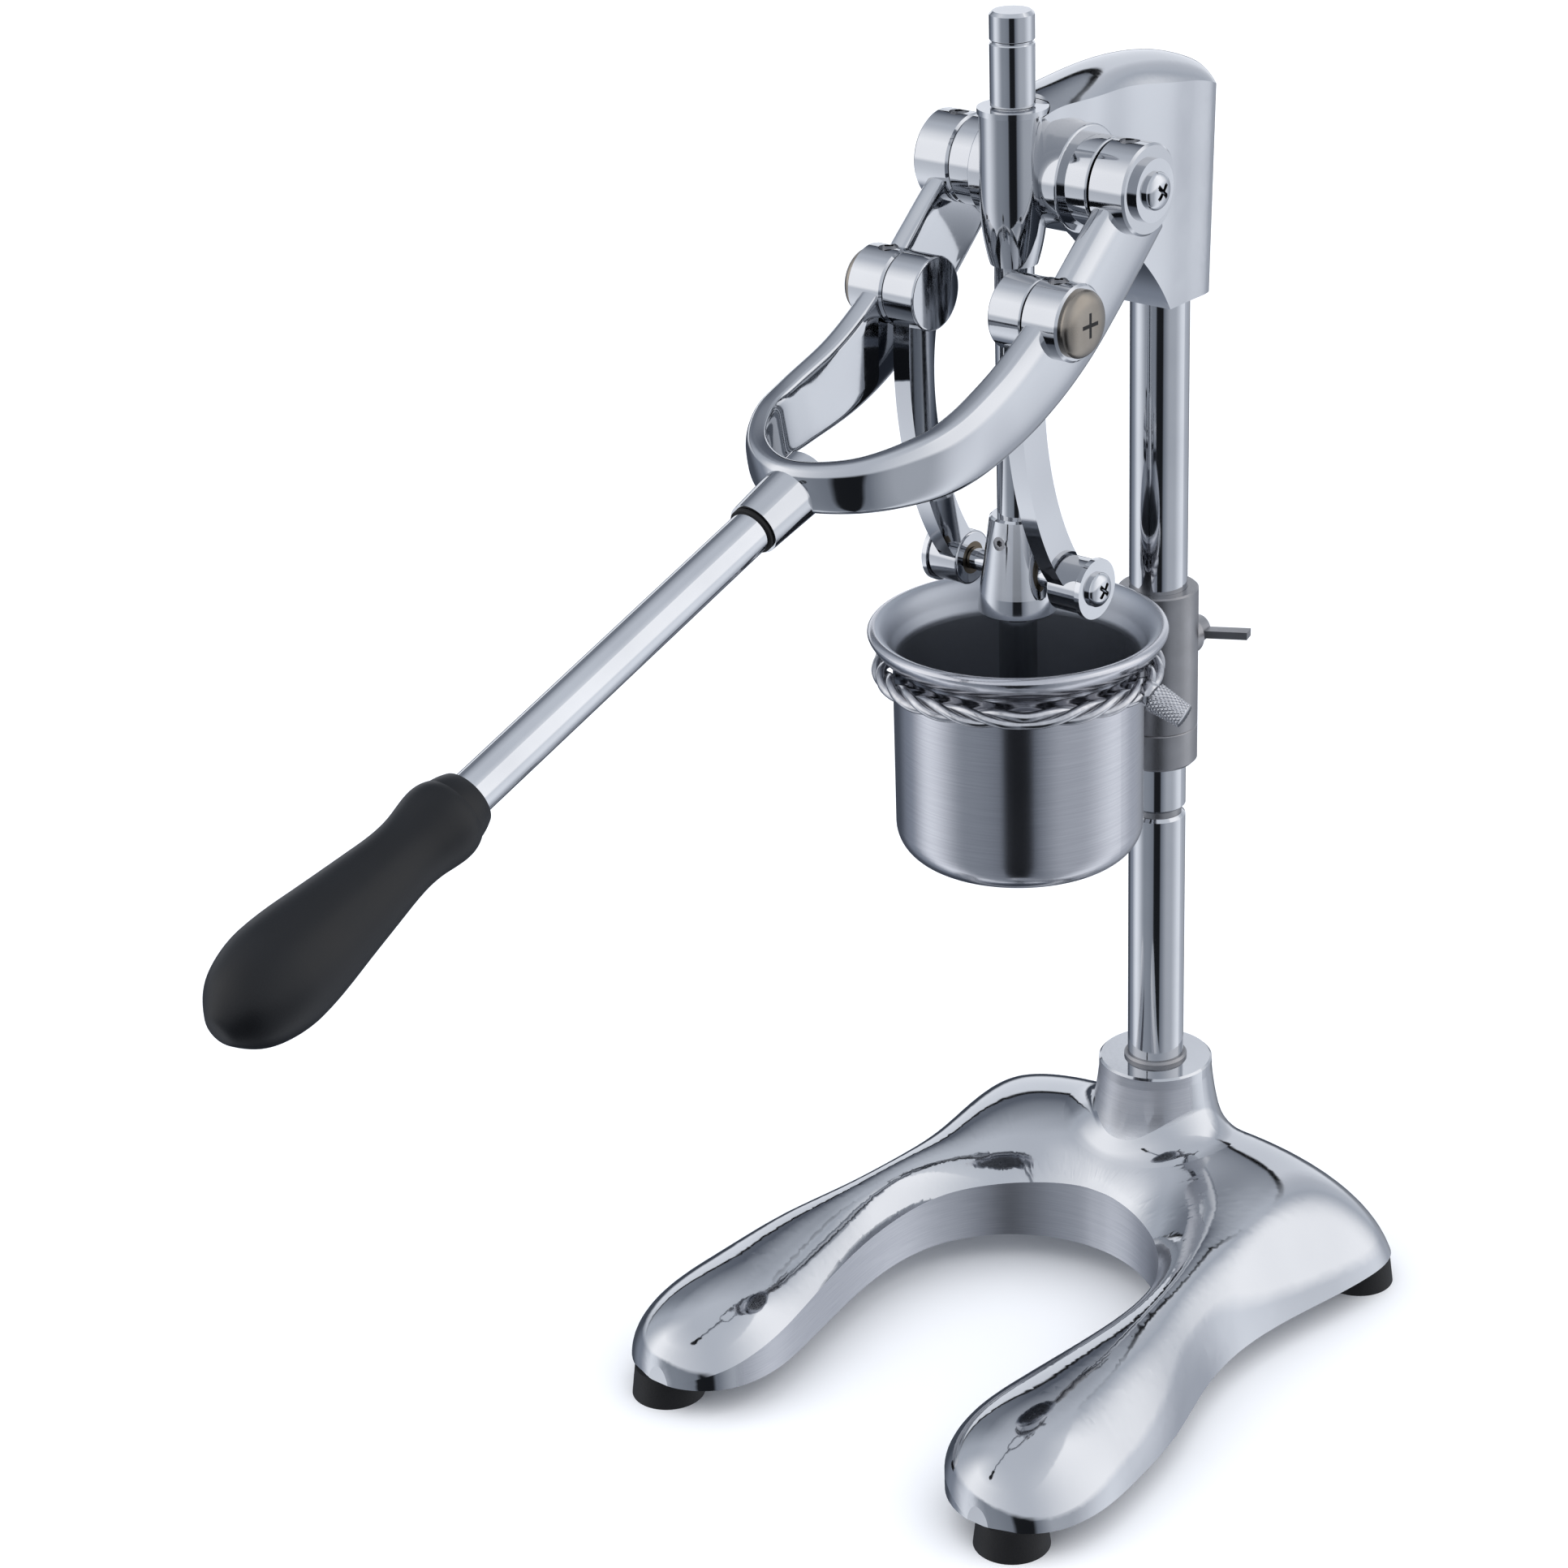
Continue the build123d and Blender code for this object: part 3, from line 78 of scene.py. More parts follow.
def polished_aluminium(tree):
    """Buffed cast aluminium: a mirror, slightly uneven, with a cool grey tone."""
    unevenness_mm = 34.0
    rub_mark_mm = 1.6
    place = add(tree, "ShaderNodeTexCoord").outputs["Object"]
    cloud = add(tree, "ShaderNodeTexNoise", {"Scale": 1000 / unevenness_mm, "Detail": 1.0}, {"Vector": place})
    rub = add(tree, "ShaderNodeTexNoise", {"Scale": 1000 / rub_mark_mm, "Detail": 4.0}, {"Vector": place})
    tone = add(
        tree,
        "ShaderNodeMix",
        {6: linear("#b6b8bc"), 7: linear("#c6c8cb")},
        {0: cloud.outputs["Fac"]},
        data_type="RGBA",
    )
    gloss = add(tree, "ShaderNodeMapRange", {"To Min": 0.03, "To Max": 0.1}, {"Value": rub.outputs["Fac"]})
    swell = {"Strength": 0.1, "Distance": 0.0005}
    wave = add(tree, "ShaderNodeBump", swell, {"Height": cloud.outputs["Fac"]})
    return add(
        tree,
        "ShaderNodeBsdfPrincipled",
        {"Metallic": 1.0},
        {"Base Color": tone.outputs[2], "Roughness": gloss.outputs[0], "Normal": wave.outputs["Normal"]},
    )


def brushed_arch(tree):
    """The base's finish: polished outside, brushed where the face looks into the arch."""
    # Real strokes are finer. They are drawn this coarse so that they show.
    stroke_mm = 0.5
    polished = polished_aluminium(tree)
    arch_middle = (0, -0.13, 0)
    geometry = add(tree, "ShaderNodeTexCoord")
    place = geometry.outputs["Object"]
    facing = geometry.outputs["Normal"]
    inward = add(tree, "ShaderNodeVectorMath", {1: arch_middle}, {0: place}, operation="SUBTRACT")
    flat = add(tree, "ShaderNodeVectorMath", {1: (1, 1, 0)}, {0: inward.outputs[0]}, operation="MULTIPLY")
    looks_in = add(
        tree, "ShaderNodeVectorMath", links={0: flat.outputs[0], 1: facing}, operation="DOT_PRODUCT"
    )
    inside = add(
        tree,
        "ShaderNodeMapRange",
        {"From Min": -0.01, "From Max": -0.02},
        {"Value": looks_in.outputs["Value"]},
    )
    level = add(tree, "ShaderNodeSeparateXYZ", links={0: facing})
    upright = add(
        tree, "ShaderNodeMapRange", {"From Min": 0.3, "From Max": 0.12}, {"Value": level.outputs["Z"]}
    )
    wall = add(
        tree, "ShaderNodeMath", links={0: inside.outputs[0], 1: upright.outputs[0]}, operation="MULTIPLY"
    )
    along = add(tree, "ShaderNodeMapping", {"Scale": (0.03, 0.03, 1.0)}, {"Vector": place})
    strokes = add(
        tree, "ShaderNodeTexNoise", {"Scale": 1000 / stroke_mm, "Detail": 4.0}, {"Vector": along.outputs[0]}
    )
    tone = add(
        tree,
        "ShaderNodeMix",
        {6: linear("#b0b2b8"), 7: linear("#cccdd1")},
        {0: strokes.outputs["Fac"]},
        data_type="RGBA",
    )
    brushed = add(
        tree,
        "ShaderNodeBsdfPrincipled",
        {"Metallic": 1.0, "Roughness": 0.4},
        {"Base Color": tone.outputs[2]},
    )
    return add(
        tree,
        "ShaderNodeMixShader",
        links={0: wall.outputs[0], 1: polished.outputs[0], 2: brushed.outputs[0]},
    )


cast_finish = finish_tree("polished_cast_aluminium", polished_aluminium)
dress(finish_tree("polished_base_with_brushed_arch", brushed_arch), "base_casting")


# Feet: moulded black rubber, screwed up into the casting from below.
# Rubber is dull and deep black, with a fine moulded grain.
def moulded_rubber(tree):
    """Moulded rubber: near black, dull, finely grained."""
    # The real grain is about half as wide. It is drawn this coarse so that it shows.
    grain_mm = 0.8
    patch_mm = 9.0
    place = add(tree, "ShaderNodeTexCoord").outputs["Object"]
    grain = add(tree, "ShaderNodeTexNoise", {"Scale": 1000 / grain_mm, "Detail": 2.0}, {"Vector": place})
    patch = add(tree, "ShaderNodeTexNoise", {"Scale": 1000 / patch_mm, "Detail": 3.0}, {"Vector": place})
    tone = add(
        tree,
        "ShaderNodeMix",
        {6: linear("#08080a"), 7: linear("#151517")},
        {0: patch.outputs["Fac"]},
        data_type="RGBA",
    )
    gloss = add(tree, "ShaderNodeMapRange", {"To Min": 0.5, "To Max": 0.72}, {"Value": patch.outputs["Fac"]})
    moulding = {"Strength": 0.3, "Distance": 0.0003}
    bumps = add(tree, "ShaderNodeBump", moulding, {"Height": grain.outputs["Fac"]})
    return add(
        tree,
        "ShaderNodeBsdfPrincipled",
        {"IOR": 1.52},
        {"Base Color": tone.outputs[2], "Roughness": gloss.outputs[0], "Normal": bumps.outputs["Normal"]},
    )


rubber_finish = finish_tree("moulded_black_rubber", moulded_rubber)
dress(rubber_finish, "foot_front_right", "foot_front_left", "foot_rear_right", "foot_rear_left")


# Fixings: turned steel screws, plugs and washers, most of them hidden, left with a satin surface.
# Turning leaves a soft grey sheen and fine marks.
def satin_steel(tree):
    """Turned steel with a satin sheen."""
    # Real turning marks are finer. They are drawn this coarse so that they show.
    ring_mm = 0.7
    patch_mm = 12.0
    place = add(tree, "ShaderNodeTexCoord").outputs["Object"]
    rings = add(tree, "ShaderNodeTexNoise", {"Scale": 1000 / ring_mm, "Detail": 2.0}, {"Vector": place})
    patch = add(tree, "ShaderNodeTexNoise", {"Scale": 1000 / patch_mm, "Detail": 3.0}, {"Vector": place})
    tone = add(
        tree,
        "ShaderNodeMix",
        {6: linear("#8c8c8d"), 7: linear("#a6a6a9")},
        {0: patch.outputs["Fac"]},
        data_type="RGBA",
    )
    gloss = add(tree, "ShaderNodeMapRange", {"To Min": 0.28, "To Max": 0.42}, {"Value": rings.outputs["Fac"]})
    return add(
        tree,
        "ShaderNodeBsdfPrincipled",
        {"Metallic": 1.0},
        {"Base Color": tone.outputs[2], "Roughness": gloss.outputs[0]},
    )


satin_finish = finish_tree("satin_turned_steel", satin_steel)
dress(satin_finish, "foot_screws", "column_bolt", "column_washer", "column_plug", "column_spigot")
dress(satin_finish, "head_set_screws", "fork_set_screws", "crosshead_set_screw")


# Column: two chromed steel tubes on a hidden spigot, with a thin satin steel ring where they enter the hub.
# The ring's darker satin also stands in for painted shade in the gap round the column there.
# Chrome plate is a hard bright mirror with hardly any texture.
def chrome_plate(tree):
    """Bright chrome plate on steel."""
    haze_mm = 26.0
    place = add(tree, "ShaderNodeTexCoord").outputs["Object"]
    haze = add(tree, "ShaderNodeTexNoise", {"Scale": 1000 / haze_mm, "Detail": 4.0}, {"Vector": place})
    tone = add(
        tree,
        "ShaderNodeMix",
        {6: linear("#bcbec2"), 7: linear("#cdcfd2")},
        {0: haze.outputs["Fac"]},
        data_type="RGBA",
    )
    gloss = add(tree, "ShaderNodeMapRange", {"To Min": 0.03, "To Max": 0.11}, {"Value": haze.outputs["Fac"]})
    return add(
        tree,
        "ShaderNodeBsdfPrincipled",
        {"Metallic": 1.0},
        {"Base Color": tone.outputs[2], "Roughness": gloss.outputs[0]},
    )


chrome_finish = finish_tree("bright_chrome_plate", chrome_plate)
dress(chrome_finish, "lower_column", "upper_column")
# The collar's darker satin stands in for painted shade in the gap where the column enters the hub.
dress(satin_finish, "column_collar")

# Head: the crowned arm on top of the column, cast and polished like the base.
# It holds a bush for the rod and two for the main shaft.
dress(cast_finish, "head_casting")


def turned_bronze(tree):
    """Plain turned bearing bronze."""
    # Real turning marks are finer. They are drawn this coarse so that they show.
    ring_mm = 0.6
    patch_mm = 8.0
    place = add(tree, "ShaderNodeTexCoord").outputs["Object"]
    rings = add(tree, "ShaderNodeTexNoise", {"Scale": 1000 / ring_mm, "Detail": 2.0}, {"Vector": place})
    patch = add(tree, "ShaderNodeTexNoise", {"Scale": 1000 / patch_mm, "Detail": 3.0}, {"Vector": place})
    tone = add(
        tree,
        "ShaderNodeMix",
        {6: linear("#6d655a"), 7: linear("#857b6c")},
        {0: patch.outputs["Fac"]},
        data_type="RGBA",
    )
    gloss = add(tree, "ShaderNodeMapRange", {"To Min": 0.25, "To Max": 0.4}, {"Value": rings.outputs["Fac"]})
    return add(
        tree,
        "ShaderNodeBsdfPrincipled",
        {"Metallic": 1.0},
        {"Base Color": tone.outputs[2], "Roughness": gloss.outputs[0]},
    )


bronze_finish = finish_tree("turned_bearing_bronze", turned_bronze)
dress(bronze_finish, "pivot_bushes", "eye_bush_right", "eye_bush_left")
dress(chrome_finish, "guide_bush")

# Lever: the cast fork with its shaft, pins and end screws, and the handle tube in its socket.
# The fork is one bent strap with two bosses on each arm, drilled for the grub screws.
# The domed pin screws are a warm grey satin nickel. Every screw has a cross recess, painted near black as
# painted shade.
main_pivot = Vector((0, -0.071, 0.4595))
link_pivot = Vector((0, -0.112, 0.423))

# Each station of the strap, in millimetres: how far out, forward and up its middle is, how many degrees
# it leans, its depth and its thickness. One arm runs from the main pivot to the front.
arm_stations = [
    (36.5, -64.6, 452.4, 42, 30.0, 10.5),
    (36.5, -78.6, 441.0, 42, 32.0, 10.5),
    (36.5, -92.2, 429.2, 41, 32.5, 10.5),
    (36.4, -107.0, 417.2, 35, 32.0, 10.5),
    (36.0, -123.3, 406.9, 27, 31.0, 10.5),
    (36.0, -142.2, 398.4, 21, 28.5, 10.5),
    (36.2, -166.0, 392.0, 14, 25.0, 10.2),
    (32.8, -184.5, 389.2, 10, 22.0, 9.0),
    (20.5, -202.5, 386.6, 10, 18.5, 8.1),
]
front_station = (0.0, -212.0, 385.8, 10, 17.0, 7.6)
far_arm = [(-station[0], *station[1:]) for station in arm_stations]
strap_stations = far_arm + [front_station] + arm_stations[::-1]
strap_steps = 8
strap_sides = 40
outer_squareness = 2.7
inner_squareness = 7.0


def between(before, here, after, beyond, share):
    """A value on the smooth curve from here to after, which also looks at the values on either side."""
    bend = 2 * before - 5 * here + 4 * after - beyond
    twist = 3 * (here - after) + beyond - before
    return here + share / 2 * (after - before + share * (bend + share * twist))


def strap_loop(middle, way, lean, depth, thick):
    """The strap's outline across its way: flat inside and crowned outside."""
    upward = Vector((0, -math.sin(math.radians(lean)), math.cos(math.radians(lean))))
    upward = (upward - way * upward.dot(way)).normalized()
    outward = way.cross(upward)
    loop = []
    for side in range(strap_sides):
        angle = 2 * math.pi * side / strap_sides
        power = 2 / (outer_squareness if math.sin(angle) > 0 else inner_squareness)
        high = math.copysign(abs(math.cos(angle)) ** power, math.cos(angle)) * depth / 2
        wide = math.copysign(abs(math.sin(angle)) ** power, math.sin(angle)) * thick / 2
        loop.append((middle + upward * high + outward * wide) / 1000)
    return loop


strap_rows = []
last_station = len(strap_stations) - 1
for i in range(last_station):
    neighbours = [strap_stations[min(max(i + k, 0), last_station)] for k in (-1, 0, 1, 2)]
    for step in range(strap_steps):
        strap_rows.append([between(*values, step / strap_steps) for values in zip(*neighbours)])
strap_rows.append(list(strap_stations[last_station]))
strap_middles = [Vector(row[:3]) for row in strap_rows]
strap_loops = []
for i, row in enumerate(strap_rows):
    way = strap_middles[min(i + 1, len(strap_rows) - 1)] - strap_middles[max(i - 1, 0)]
    strap_loops.append(strap_loop(strap_middles[i], way.normalized(), *row[3:]))


def turned_loops(start, way, profile, sides):
    """Loops of points round a line, one for each distance and radius in the profile."""
    across = way.orthogonal().normalized()
    up = way.cross(across)
    turns = [2 * math.pi * side / sides for side in range(sides)]
    round_it = [(math.cos(turn), math.sin(turn)) for turn in turns]
    loops = []
    for distance, radius in profile:
        middle = start + way * distance
        loops.append([middle + across * radius * c + up * radius * s for c, s in round_it])
    return loops


boss_start = 0.030
boss_length = 0.015
boss_round = 0.0008
boss_sides = 96
main_boss_radius = 0.016
link_boss_radius = 0.0135
grub_line = 0.0365
grub_radius = 0.0036
grub_reach = 0.03
grub_sides = 32
handle_drop = math.radians(18.2)
into_fork = Vector((0, math.cos(handle_drop), math.sin(handle_drop)))
socket_mouth = Vector((0, -0.231, 0.3764))
socket_profile = [(0.0, 0.00925), (0.030, 0.0105)]
socket_sides = 64
fork_lumps = [strap_loops, turned_loops(socket_mouth, into_fork, socket_profile, socket_sides)]
grub_holes = []
for side in (-1, 1):
    outward = Vector((side, 0, 0))
    for pivot, radius in ((main_pivot, main_boss_radius), (link_pivot, link_boss_radius)):
        rim = radius - boss_round
        boss = [(0.0, rim), (boss_round, radius), (boss_length - boss_round, radius), (boss_length, rim)]
        hole = [(0.0, grub_radius), (grub_reach, grub_radius)]
        fork_lumps.append(turned_loops(pivot + outward * boss_start, outward, boss, boss_sides))
        grub_holes.append(turned_loops(pivot + outward * grub_line, Vector((0, 0, 1)), hole, grub_sides))


def skin(rings, closed, first):
    """The faces of a tube through equal rings of points, whose numbers start at first."""
    count = len(rings[0])
    faces = []
    for i in range(len(rings) if closed else len(rings) - 1):
        here = first + i * count
        after = first + (i + 1) % len(rings) * count
        for j in range(count):
            k = (j + 1) % count
            faces.append([here + j, here + k, after + k, after + j])
    if not closed:
        last = first + (len(rings) - 1) * count
        faces.append([first + j for j in range(count)][::-1])
        faces.append([last + j for j in range(count)])
    return faces


def shape(name, tubes, hoops=()):
    """A smoothly shaded mesh of tubes with closed ends and of hoops, each given as its rings of points."""
    points = []
    faces = []
    for lumps, endless in ((hoops, True), (tubes, False)):
        for rings in lumps:
            faces += skin(rings, endless, len(points))
            points += [tuple(point) for ring in rings for point in ring]
    mesh = bpy.data.meshes.new(name)
    mesh.from_pydata(points, [], faces)
    for polygon in mesh.polygons:
        polygon.use_smooth = True
    return mesh


def piece(name, mesh, material, stands_for, body):
    """A mesh of its own that stands for one CAD piece and rides with its body."""
    mesh.materials.clear()
    mesh.materials.append(material)
    made = bpy.data.objects.new(name, mesh)
    bpy.context.scene.collection.objects.link(made)
    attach(made, body)
    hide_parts(stands_for)
    return made


def drilled(mesh, drills):
    """One closed mesh from overlapping lumps, with the drills cut out of it and its corners kept sharp."""
    corner = math.radians(32)
    blank = bpy.data.objects.new("blank", mesh)
    cutter = bpy.data.objects.new("cutter", drills)
    bpy.context.scene.collection.objects.link(blank)
    bpy.context.scene.collection.objects.link(cutter)
    cut = blank.modifiers.new("cut", "BOOLEAN")
    cut.operation = "DIFFERENCE"
    cut.solver = "EXACT"
    cut.use_self = True
    cut.object = cutter
    made = bpy.data.meshes.new_from_object(blank.evaluated_get(bpy.context.evaluated_depsgraph_get()))
    bpy.data.objects.remove(blank)
    bpy.data.objects.remove(cutter)
    made.set_sharp_from_angle(angle=corner)
    return made


fork_blank = shape("fork_blank", fork_lumps)
grub_drills = shape("grub_drills", grub_holes)
strap_fork = drilled(fork_blank, grub_drills)
strap_fork.name = "strap_fork"
piece("strap_fork", strap_fork, cast_finish, "fork_casting", "lever")
dress(chrome_finish, "pivot_shaft", "pivot_washers", "link_pins", "handle_tube")
dress(rubber_finish, "handle_ring")


def slotted(plate, middle, reach_mm, turned_by):
    """A screw's finish: its plate, with near-black painted shade in the cross recess round its middle."""
    slot_mm = 1.4

    def build(tree):
        shine = plate(tree)
        place = add(tree, "ShaderNodeTexCoord").outputs["Object"]
        aside = add(tree, "ShaderNodeVectorMath", {1: middle}, {0: place}, operation="SUBTRACT")
        recess = {"Rotation": (math.radians(turned_by), 0, 0)}
        turned = add(tree, "ShaderNodeMapping", recess, {"Vector": aside.outputs[0]})
        either_way = add(tree, "ShaderNodeVectorMath", links={0: turned.outputs[0]}, operation="ABSOLUTE")
        off = add(tree, "ShaderNodeSeparateXYZ", links={0: either_way.outputs[0]})
        thin = {1: slot_mm / 2000}
        long = {1: reach_mm / 1000}
        thin_y = add(tree, "ShaderNodeMath", thin, {0: off.outputs["Y"]}, operation="LESS_THAN")
        long_z = add(tree, "ShaderNodeMath", long, {0: off.outputs["Z"]}, operation="LESS_THAN")
        thin_z = add(tree, "ShaderNodeMath", thin, {0: off.outputs["Z"]}, operation="LESS_THAN")
        long_y = add(tree, "ShaderNodeMath", long, {0: off.outputs["Y"]}, operation="LESS_THAN")
        upright = add(
            tree, "ShaderNodeMath", links={0: thin_y.outputs[0], 1: long_z.outputs[0]}, operation="MULTIPLY"
        )
        level = add(
            tree, "ShaderNodeMath", links={0: thin_z.outputs[0], 1: long_y.outputs[0]}, operation="MULTIPLY"
        )
        cross = add(
            tree, "ShaderNodeMath", links={0: upright.outputs[0], 1: level.outputs[0]}, operation="MAXIMUM"
        )
        # The cross recess is painted near black: painted shade where light cannot reach into the slots.
        recess_painted_shade = add(tree, "ShaderNodeBsdfPrincipled", {"Base Color": linear("#0c0c0e"), "Roughness": 0.55})
        return add(
            tree,
            "ShaderNodeMixShader",
            links={0: cross.outputs[0], 1: shine.outputs[0], 2: recess_painted_shade.outputs[0]},
        )

    return build


dress(finish_tree("chrome_pivot_screw", slotted(chrome_plate, main_pivot, 3.4, 45)), "pivot_screws")


def satin_nickel(tree):
    """Satin nickel plate: warm grey, softly shining."""
    patch_mm = 6.0
    place = add(tree, "ShaderNodeTexCoord").outputs["Object"]
    patch = add(tree, "ShaderNodeTexNoise", {"Scale": 1000 / patch_mm, "Detail": 3.0}, {"Vector": place})
    tone = add(
        tree,
        "ShaderNodeMix",
        {6: linear("#8b857d"), 7: linear("#a19b93")},
        {0: patch.outputs["Fac"]},
        data_type="RGBA",
    )
    gloss = add(tree, "ShaderNodeMapRange", {"To Min": 0.24, "To Max": 0.34}, {"Value": patch.outputs["Fac"]})
    return add(
        tree,
        "ShaderNodeBsdfPrincipled",
        {"Metallic": 1.0},
        {"Base Color": tone.outputs[2], "Roughness": gloss.outputs[0]},
    )


dress(finish_tree("satin_nickel_pin_screw", slotted(satin_nickel, link_pivot, 4.4, 0)), "link_pin_caps")


# Grip: a swelling hand grip and its collar, moulded in black polypropylene.
# The moulding has a fine even grain that softens its highlights.
def moulded_grip(tree):
    """Grained black polypropylene."""
    # The real grain is about half as wide. It is drawn this coarse so that it shows.
    grain_mm = 0.9
    patch_mm = 15.0
    place = add(tree, "ShaderNodeTexCoord").outputs["Object"]
    grain = add(tree, "ShaderNodeTexNoise", {"Scale": 1000 / grain_mm, "Detail": 2.0}, {"Vector": place})
    patch = add(tree, "ShaderNodeTexNoise", {"Scale": 1000 / patch_mm, "Detail": 3.0}, {"Vector": place})
    tone = add(
        tree,
        "ShaderNodeMix",
        {6: linear("#07080b"), 7: linear("#101318")},
        {0: patch.outputs["Fac"]},
        data_type="RGBA",
    )
    gloss = add(tree, "ShaderNodeMapRange", {"To Min": 0.38, "To Max": 0.5}, {"Value": patch.outputs["Fac"]})
    moulding = {"Strength": 0.15, "Distance": 0.0002}
    bumps = add(tree, "ShaderNodeBump", moulding, {"Height": grain.outputs["Fac"]})
    return add(
        tree,
        "ShaderNodeBsdfPrincipled",
        {"IOR": 1.49},
        {"Base Color": tone.outputs[2], "Roughness": gloss.outputs[0], "Normal": bumps.outputs["Normal"]},
    )


grip_finish = finish_tree("grained_black_polypropylene", moulded_grip)
dress(grip_finish, "grip", "grip_collar")

# Links: bowed bars cast like the fork, hung on its pins, with a screwed eye at the lower end.
# The washers and screws at the eyes are chromed.
dress(cast_finish, "link_right", "link_left")
dress(chrome_finish, "eye_washer_right", "eye_washer_left")
rod_line = Vector((0, -0.0882, 0))
eye_pivot = rod_line + Vector((0, 0, 0.3175))
eye_screw_finish = finish_tree("chrome_eye_screw", slotted(chrome_plate, eye_pivot, 3.2, 45))
dress(eye_screw_finish, "eye_screw_right", "eye_screw_left")

# Ram: the chromed press rod with its stop sleeve, cap and crosshead, and the piston in the cup.
# The piston is plain turned steel with a rubber seal.
dress(chrome_finish, "press_rod", "rod_stop_sleeve", "rod_cap", "crosshead", "cross_shaft")
dress(satin_finish, "piston", "piston_nut")
dress(rubber_finish, "piston_seal")


# Cup: drawn stainless steel on the line of the rod, brushed round and round on a lathe, with a rolled rim.
# Brushing round the cup spreads its highlights into upright bands. The inside is rougher, and its colour is a
# little darker as painted shade.
def brushed_stainless(tree):
    """Stainless steel brushed round the cup."""
    # Real brush lines are finer. They are drawn this coarse so that they show.
    brush_mm = 0.5
    band_mm = 30.0
    place = add(tree, "ShaderNodeTexCoord").outputs["Object"]
    stretched = add(tree, "ShaderNodeMapping", {"Scale": (0.02, 0.02, 1.0)}, {"Vector": place})
    lines = add(
        tree,
        "ShaderNodeTexNoise",
        {"Scale": 1000 / brush_mm, "Detail": 3.0},
        {"Vector": stretched.outputs[0]},
    )
    patch = add(tree, "ShaderNodeTexNoise", {"Scale": 1000 / band_mm, "Detail": 2.0}, {"Vector": place})
    tone = add(
        tree,
        "ShaderNodeMix",
        {6: linear("#b3b4b9"), 7: linear("#c8c9cd")},
        {0: lines.outputs["Fac"]},
        data_type="RGBA",
    )
    gloss = add(tree, "ShaderNodeMapRange", {"To Min": 0.14, "To Max": 0.22}, {"Value": patch.outputs["Fac"]})
    brushing = {"Strength": 0.06, "Distance": 0.0002}
    ridges = add(tree, "ShaderNodeBump", brushing, {"Height": lines.outputs["Fac"]})
    facing = add(tree, "ShaderNodeTexCoord").outputs["Normal"]
    outward = add(tree, "ShaderNodeVectorMath", {1: rod_line}, {0: place}, operation="SUBTRACT")
    level = add(tree, "ShaderNodeVectorMath", {1: (1, 1, 0)}, {0: outward.outputs[0]}, operation="MULTIPLY")
    looks_out = add(
        tree, "ShaderNodeVectorMath", links={0: level.outputs[0], 1: facing}, operation="DOT_PRODUCT"
    )
    inside = add(
        tree,
        "ShaderNodeMapRange",
        {"From Min": 0.0, "From Max": -0.016},
        {"Value": looks_out.outputs["Value"]},
    )
    # The inside's colour is painted a little darker: painted shade inside the cup.
    inside_shaded_tone = add(
        tree,
        "ShaderNodeMix",
        {7: linear("#b2b6bd")},
        {0: inside.outputs[0], 6: tone.outputs[2]},
        data_type="RGBA",
    )
    duller = add(
        tree,
        "ShaderNodeMath",
        {1: 0.25},
        {0: inside.outputs[0], 2: gloss.outputs[0]},
        operation="MULTIPLY_ADD",
    )
    return add(
        tree,
        "ShaderNodeBsdfPrincipled",
        {"Metallic": 1.0},
        {"Base Color": inside_shaded_tone.outputs[2], "Roughness": duller.outputs[0], "Normal": ridges.outputs["Normal"]},
    )


cup_finish = finish_tree("brushed_stainless_steel", brushed_stainless)
dress(cup_finish, "cup")
dress(satin_finish, "die_plate")

# Carrier: the satin sleeve on the column with its arm, the ring round the cup and two hand screws.
# The ring is three steel strands laid round each other, with a small boss for the clamp screw.
# The clamp screw's finger grip is knurled.
dress(satin_finish, "carrier_sleeve", "wing_bolt")


ring_middle = rod_line + Vector((0, 0, 0.280))
ring_radius = 0.0495
strand_radius = 0.00178
strand_offset = 0.00195
strands = 3
lay_turns = 8
lay_meets = math.radians(-50.0)
lay_blend = 0.1
ring_steps = 288
strand_sides = 12
strand_hoops = []
for strand in range(strands):
    hoop = []
    for step in range(ring_steps):
        turn = 2 * math.pi * step / ring_steps
        away = math.remainder(turn - lay_meets, 2 * math.pi)
        lay = lay_turns * math.sqrt(away**2 + lay_blend**2) + 2 * math.pi * strand / strands
        out = Vector((math.cos(turn), math.sin(turn), 0))
        up = Vector((0, 0, 1))
        centre = ring_middle + out * (ring_radius + strand_offset * math.cos(lay))
        centre = centre + up * strand_offset * math.sin(lay)
        loop = []
        for side in range(strand_sides):
            angle = 2 * math.pi * side / strand_sides
            loop.append(centre + (out * math.cos(angle) + up * math.sin(angle)) * strand_radius)
        hoop.append(loop)
    strand_hoops.append(hoop)

clamp_side = math.radians(9.2)
clamp_drop = math.radians(24.0)
clamp_seat = ring_middle + ring_radius * Vector((math.cos(clamp_side), math.sin(clamp_side), 0))
clamp_way = Vector(
    (
        math.cos(clamp_side) * math.cos(clamp_drop),
        math.sin(clamp_side) * math.cos(clamp_drop),
        -math.sin(clamp_drop),
    )
)
clamp_across = clamp_way.cross(Vector((0, 0, 1))).normalized()
clamp_up = clamp_across.cross(clamp_way)


def clamp_loop(distance, radius_at, sides):
    """A loop of points round the clamp screw's line, at a distance out from the ring."""
    loop = []
    for side in range(sides):
        angle = 2 * math.pi * side / sides
        round_it = clamp_across * math.cos(angle) + clamp_up * math.sin(angle)
        loop.append(clamp_seat + clamp_way * distance + round_it * radius_at(angle))
    return loop


seat_radius = 0.0046
seat_end = 0.0052
seat_rim = 0.0006
seat_sides = 32
seat_profile = [(0.0, seat_radius), (seat_end - seat_rim, seat_radius), (seat_end, seat_radius - seat_rim)]
seat_loops = []
for distance, radius in seat_profile:
    seat_loops.append(clamp_loop(distance, lambda angle, r=radius: r, seat_sides))


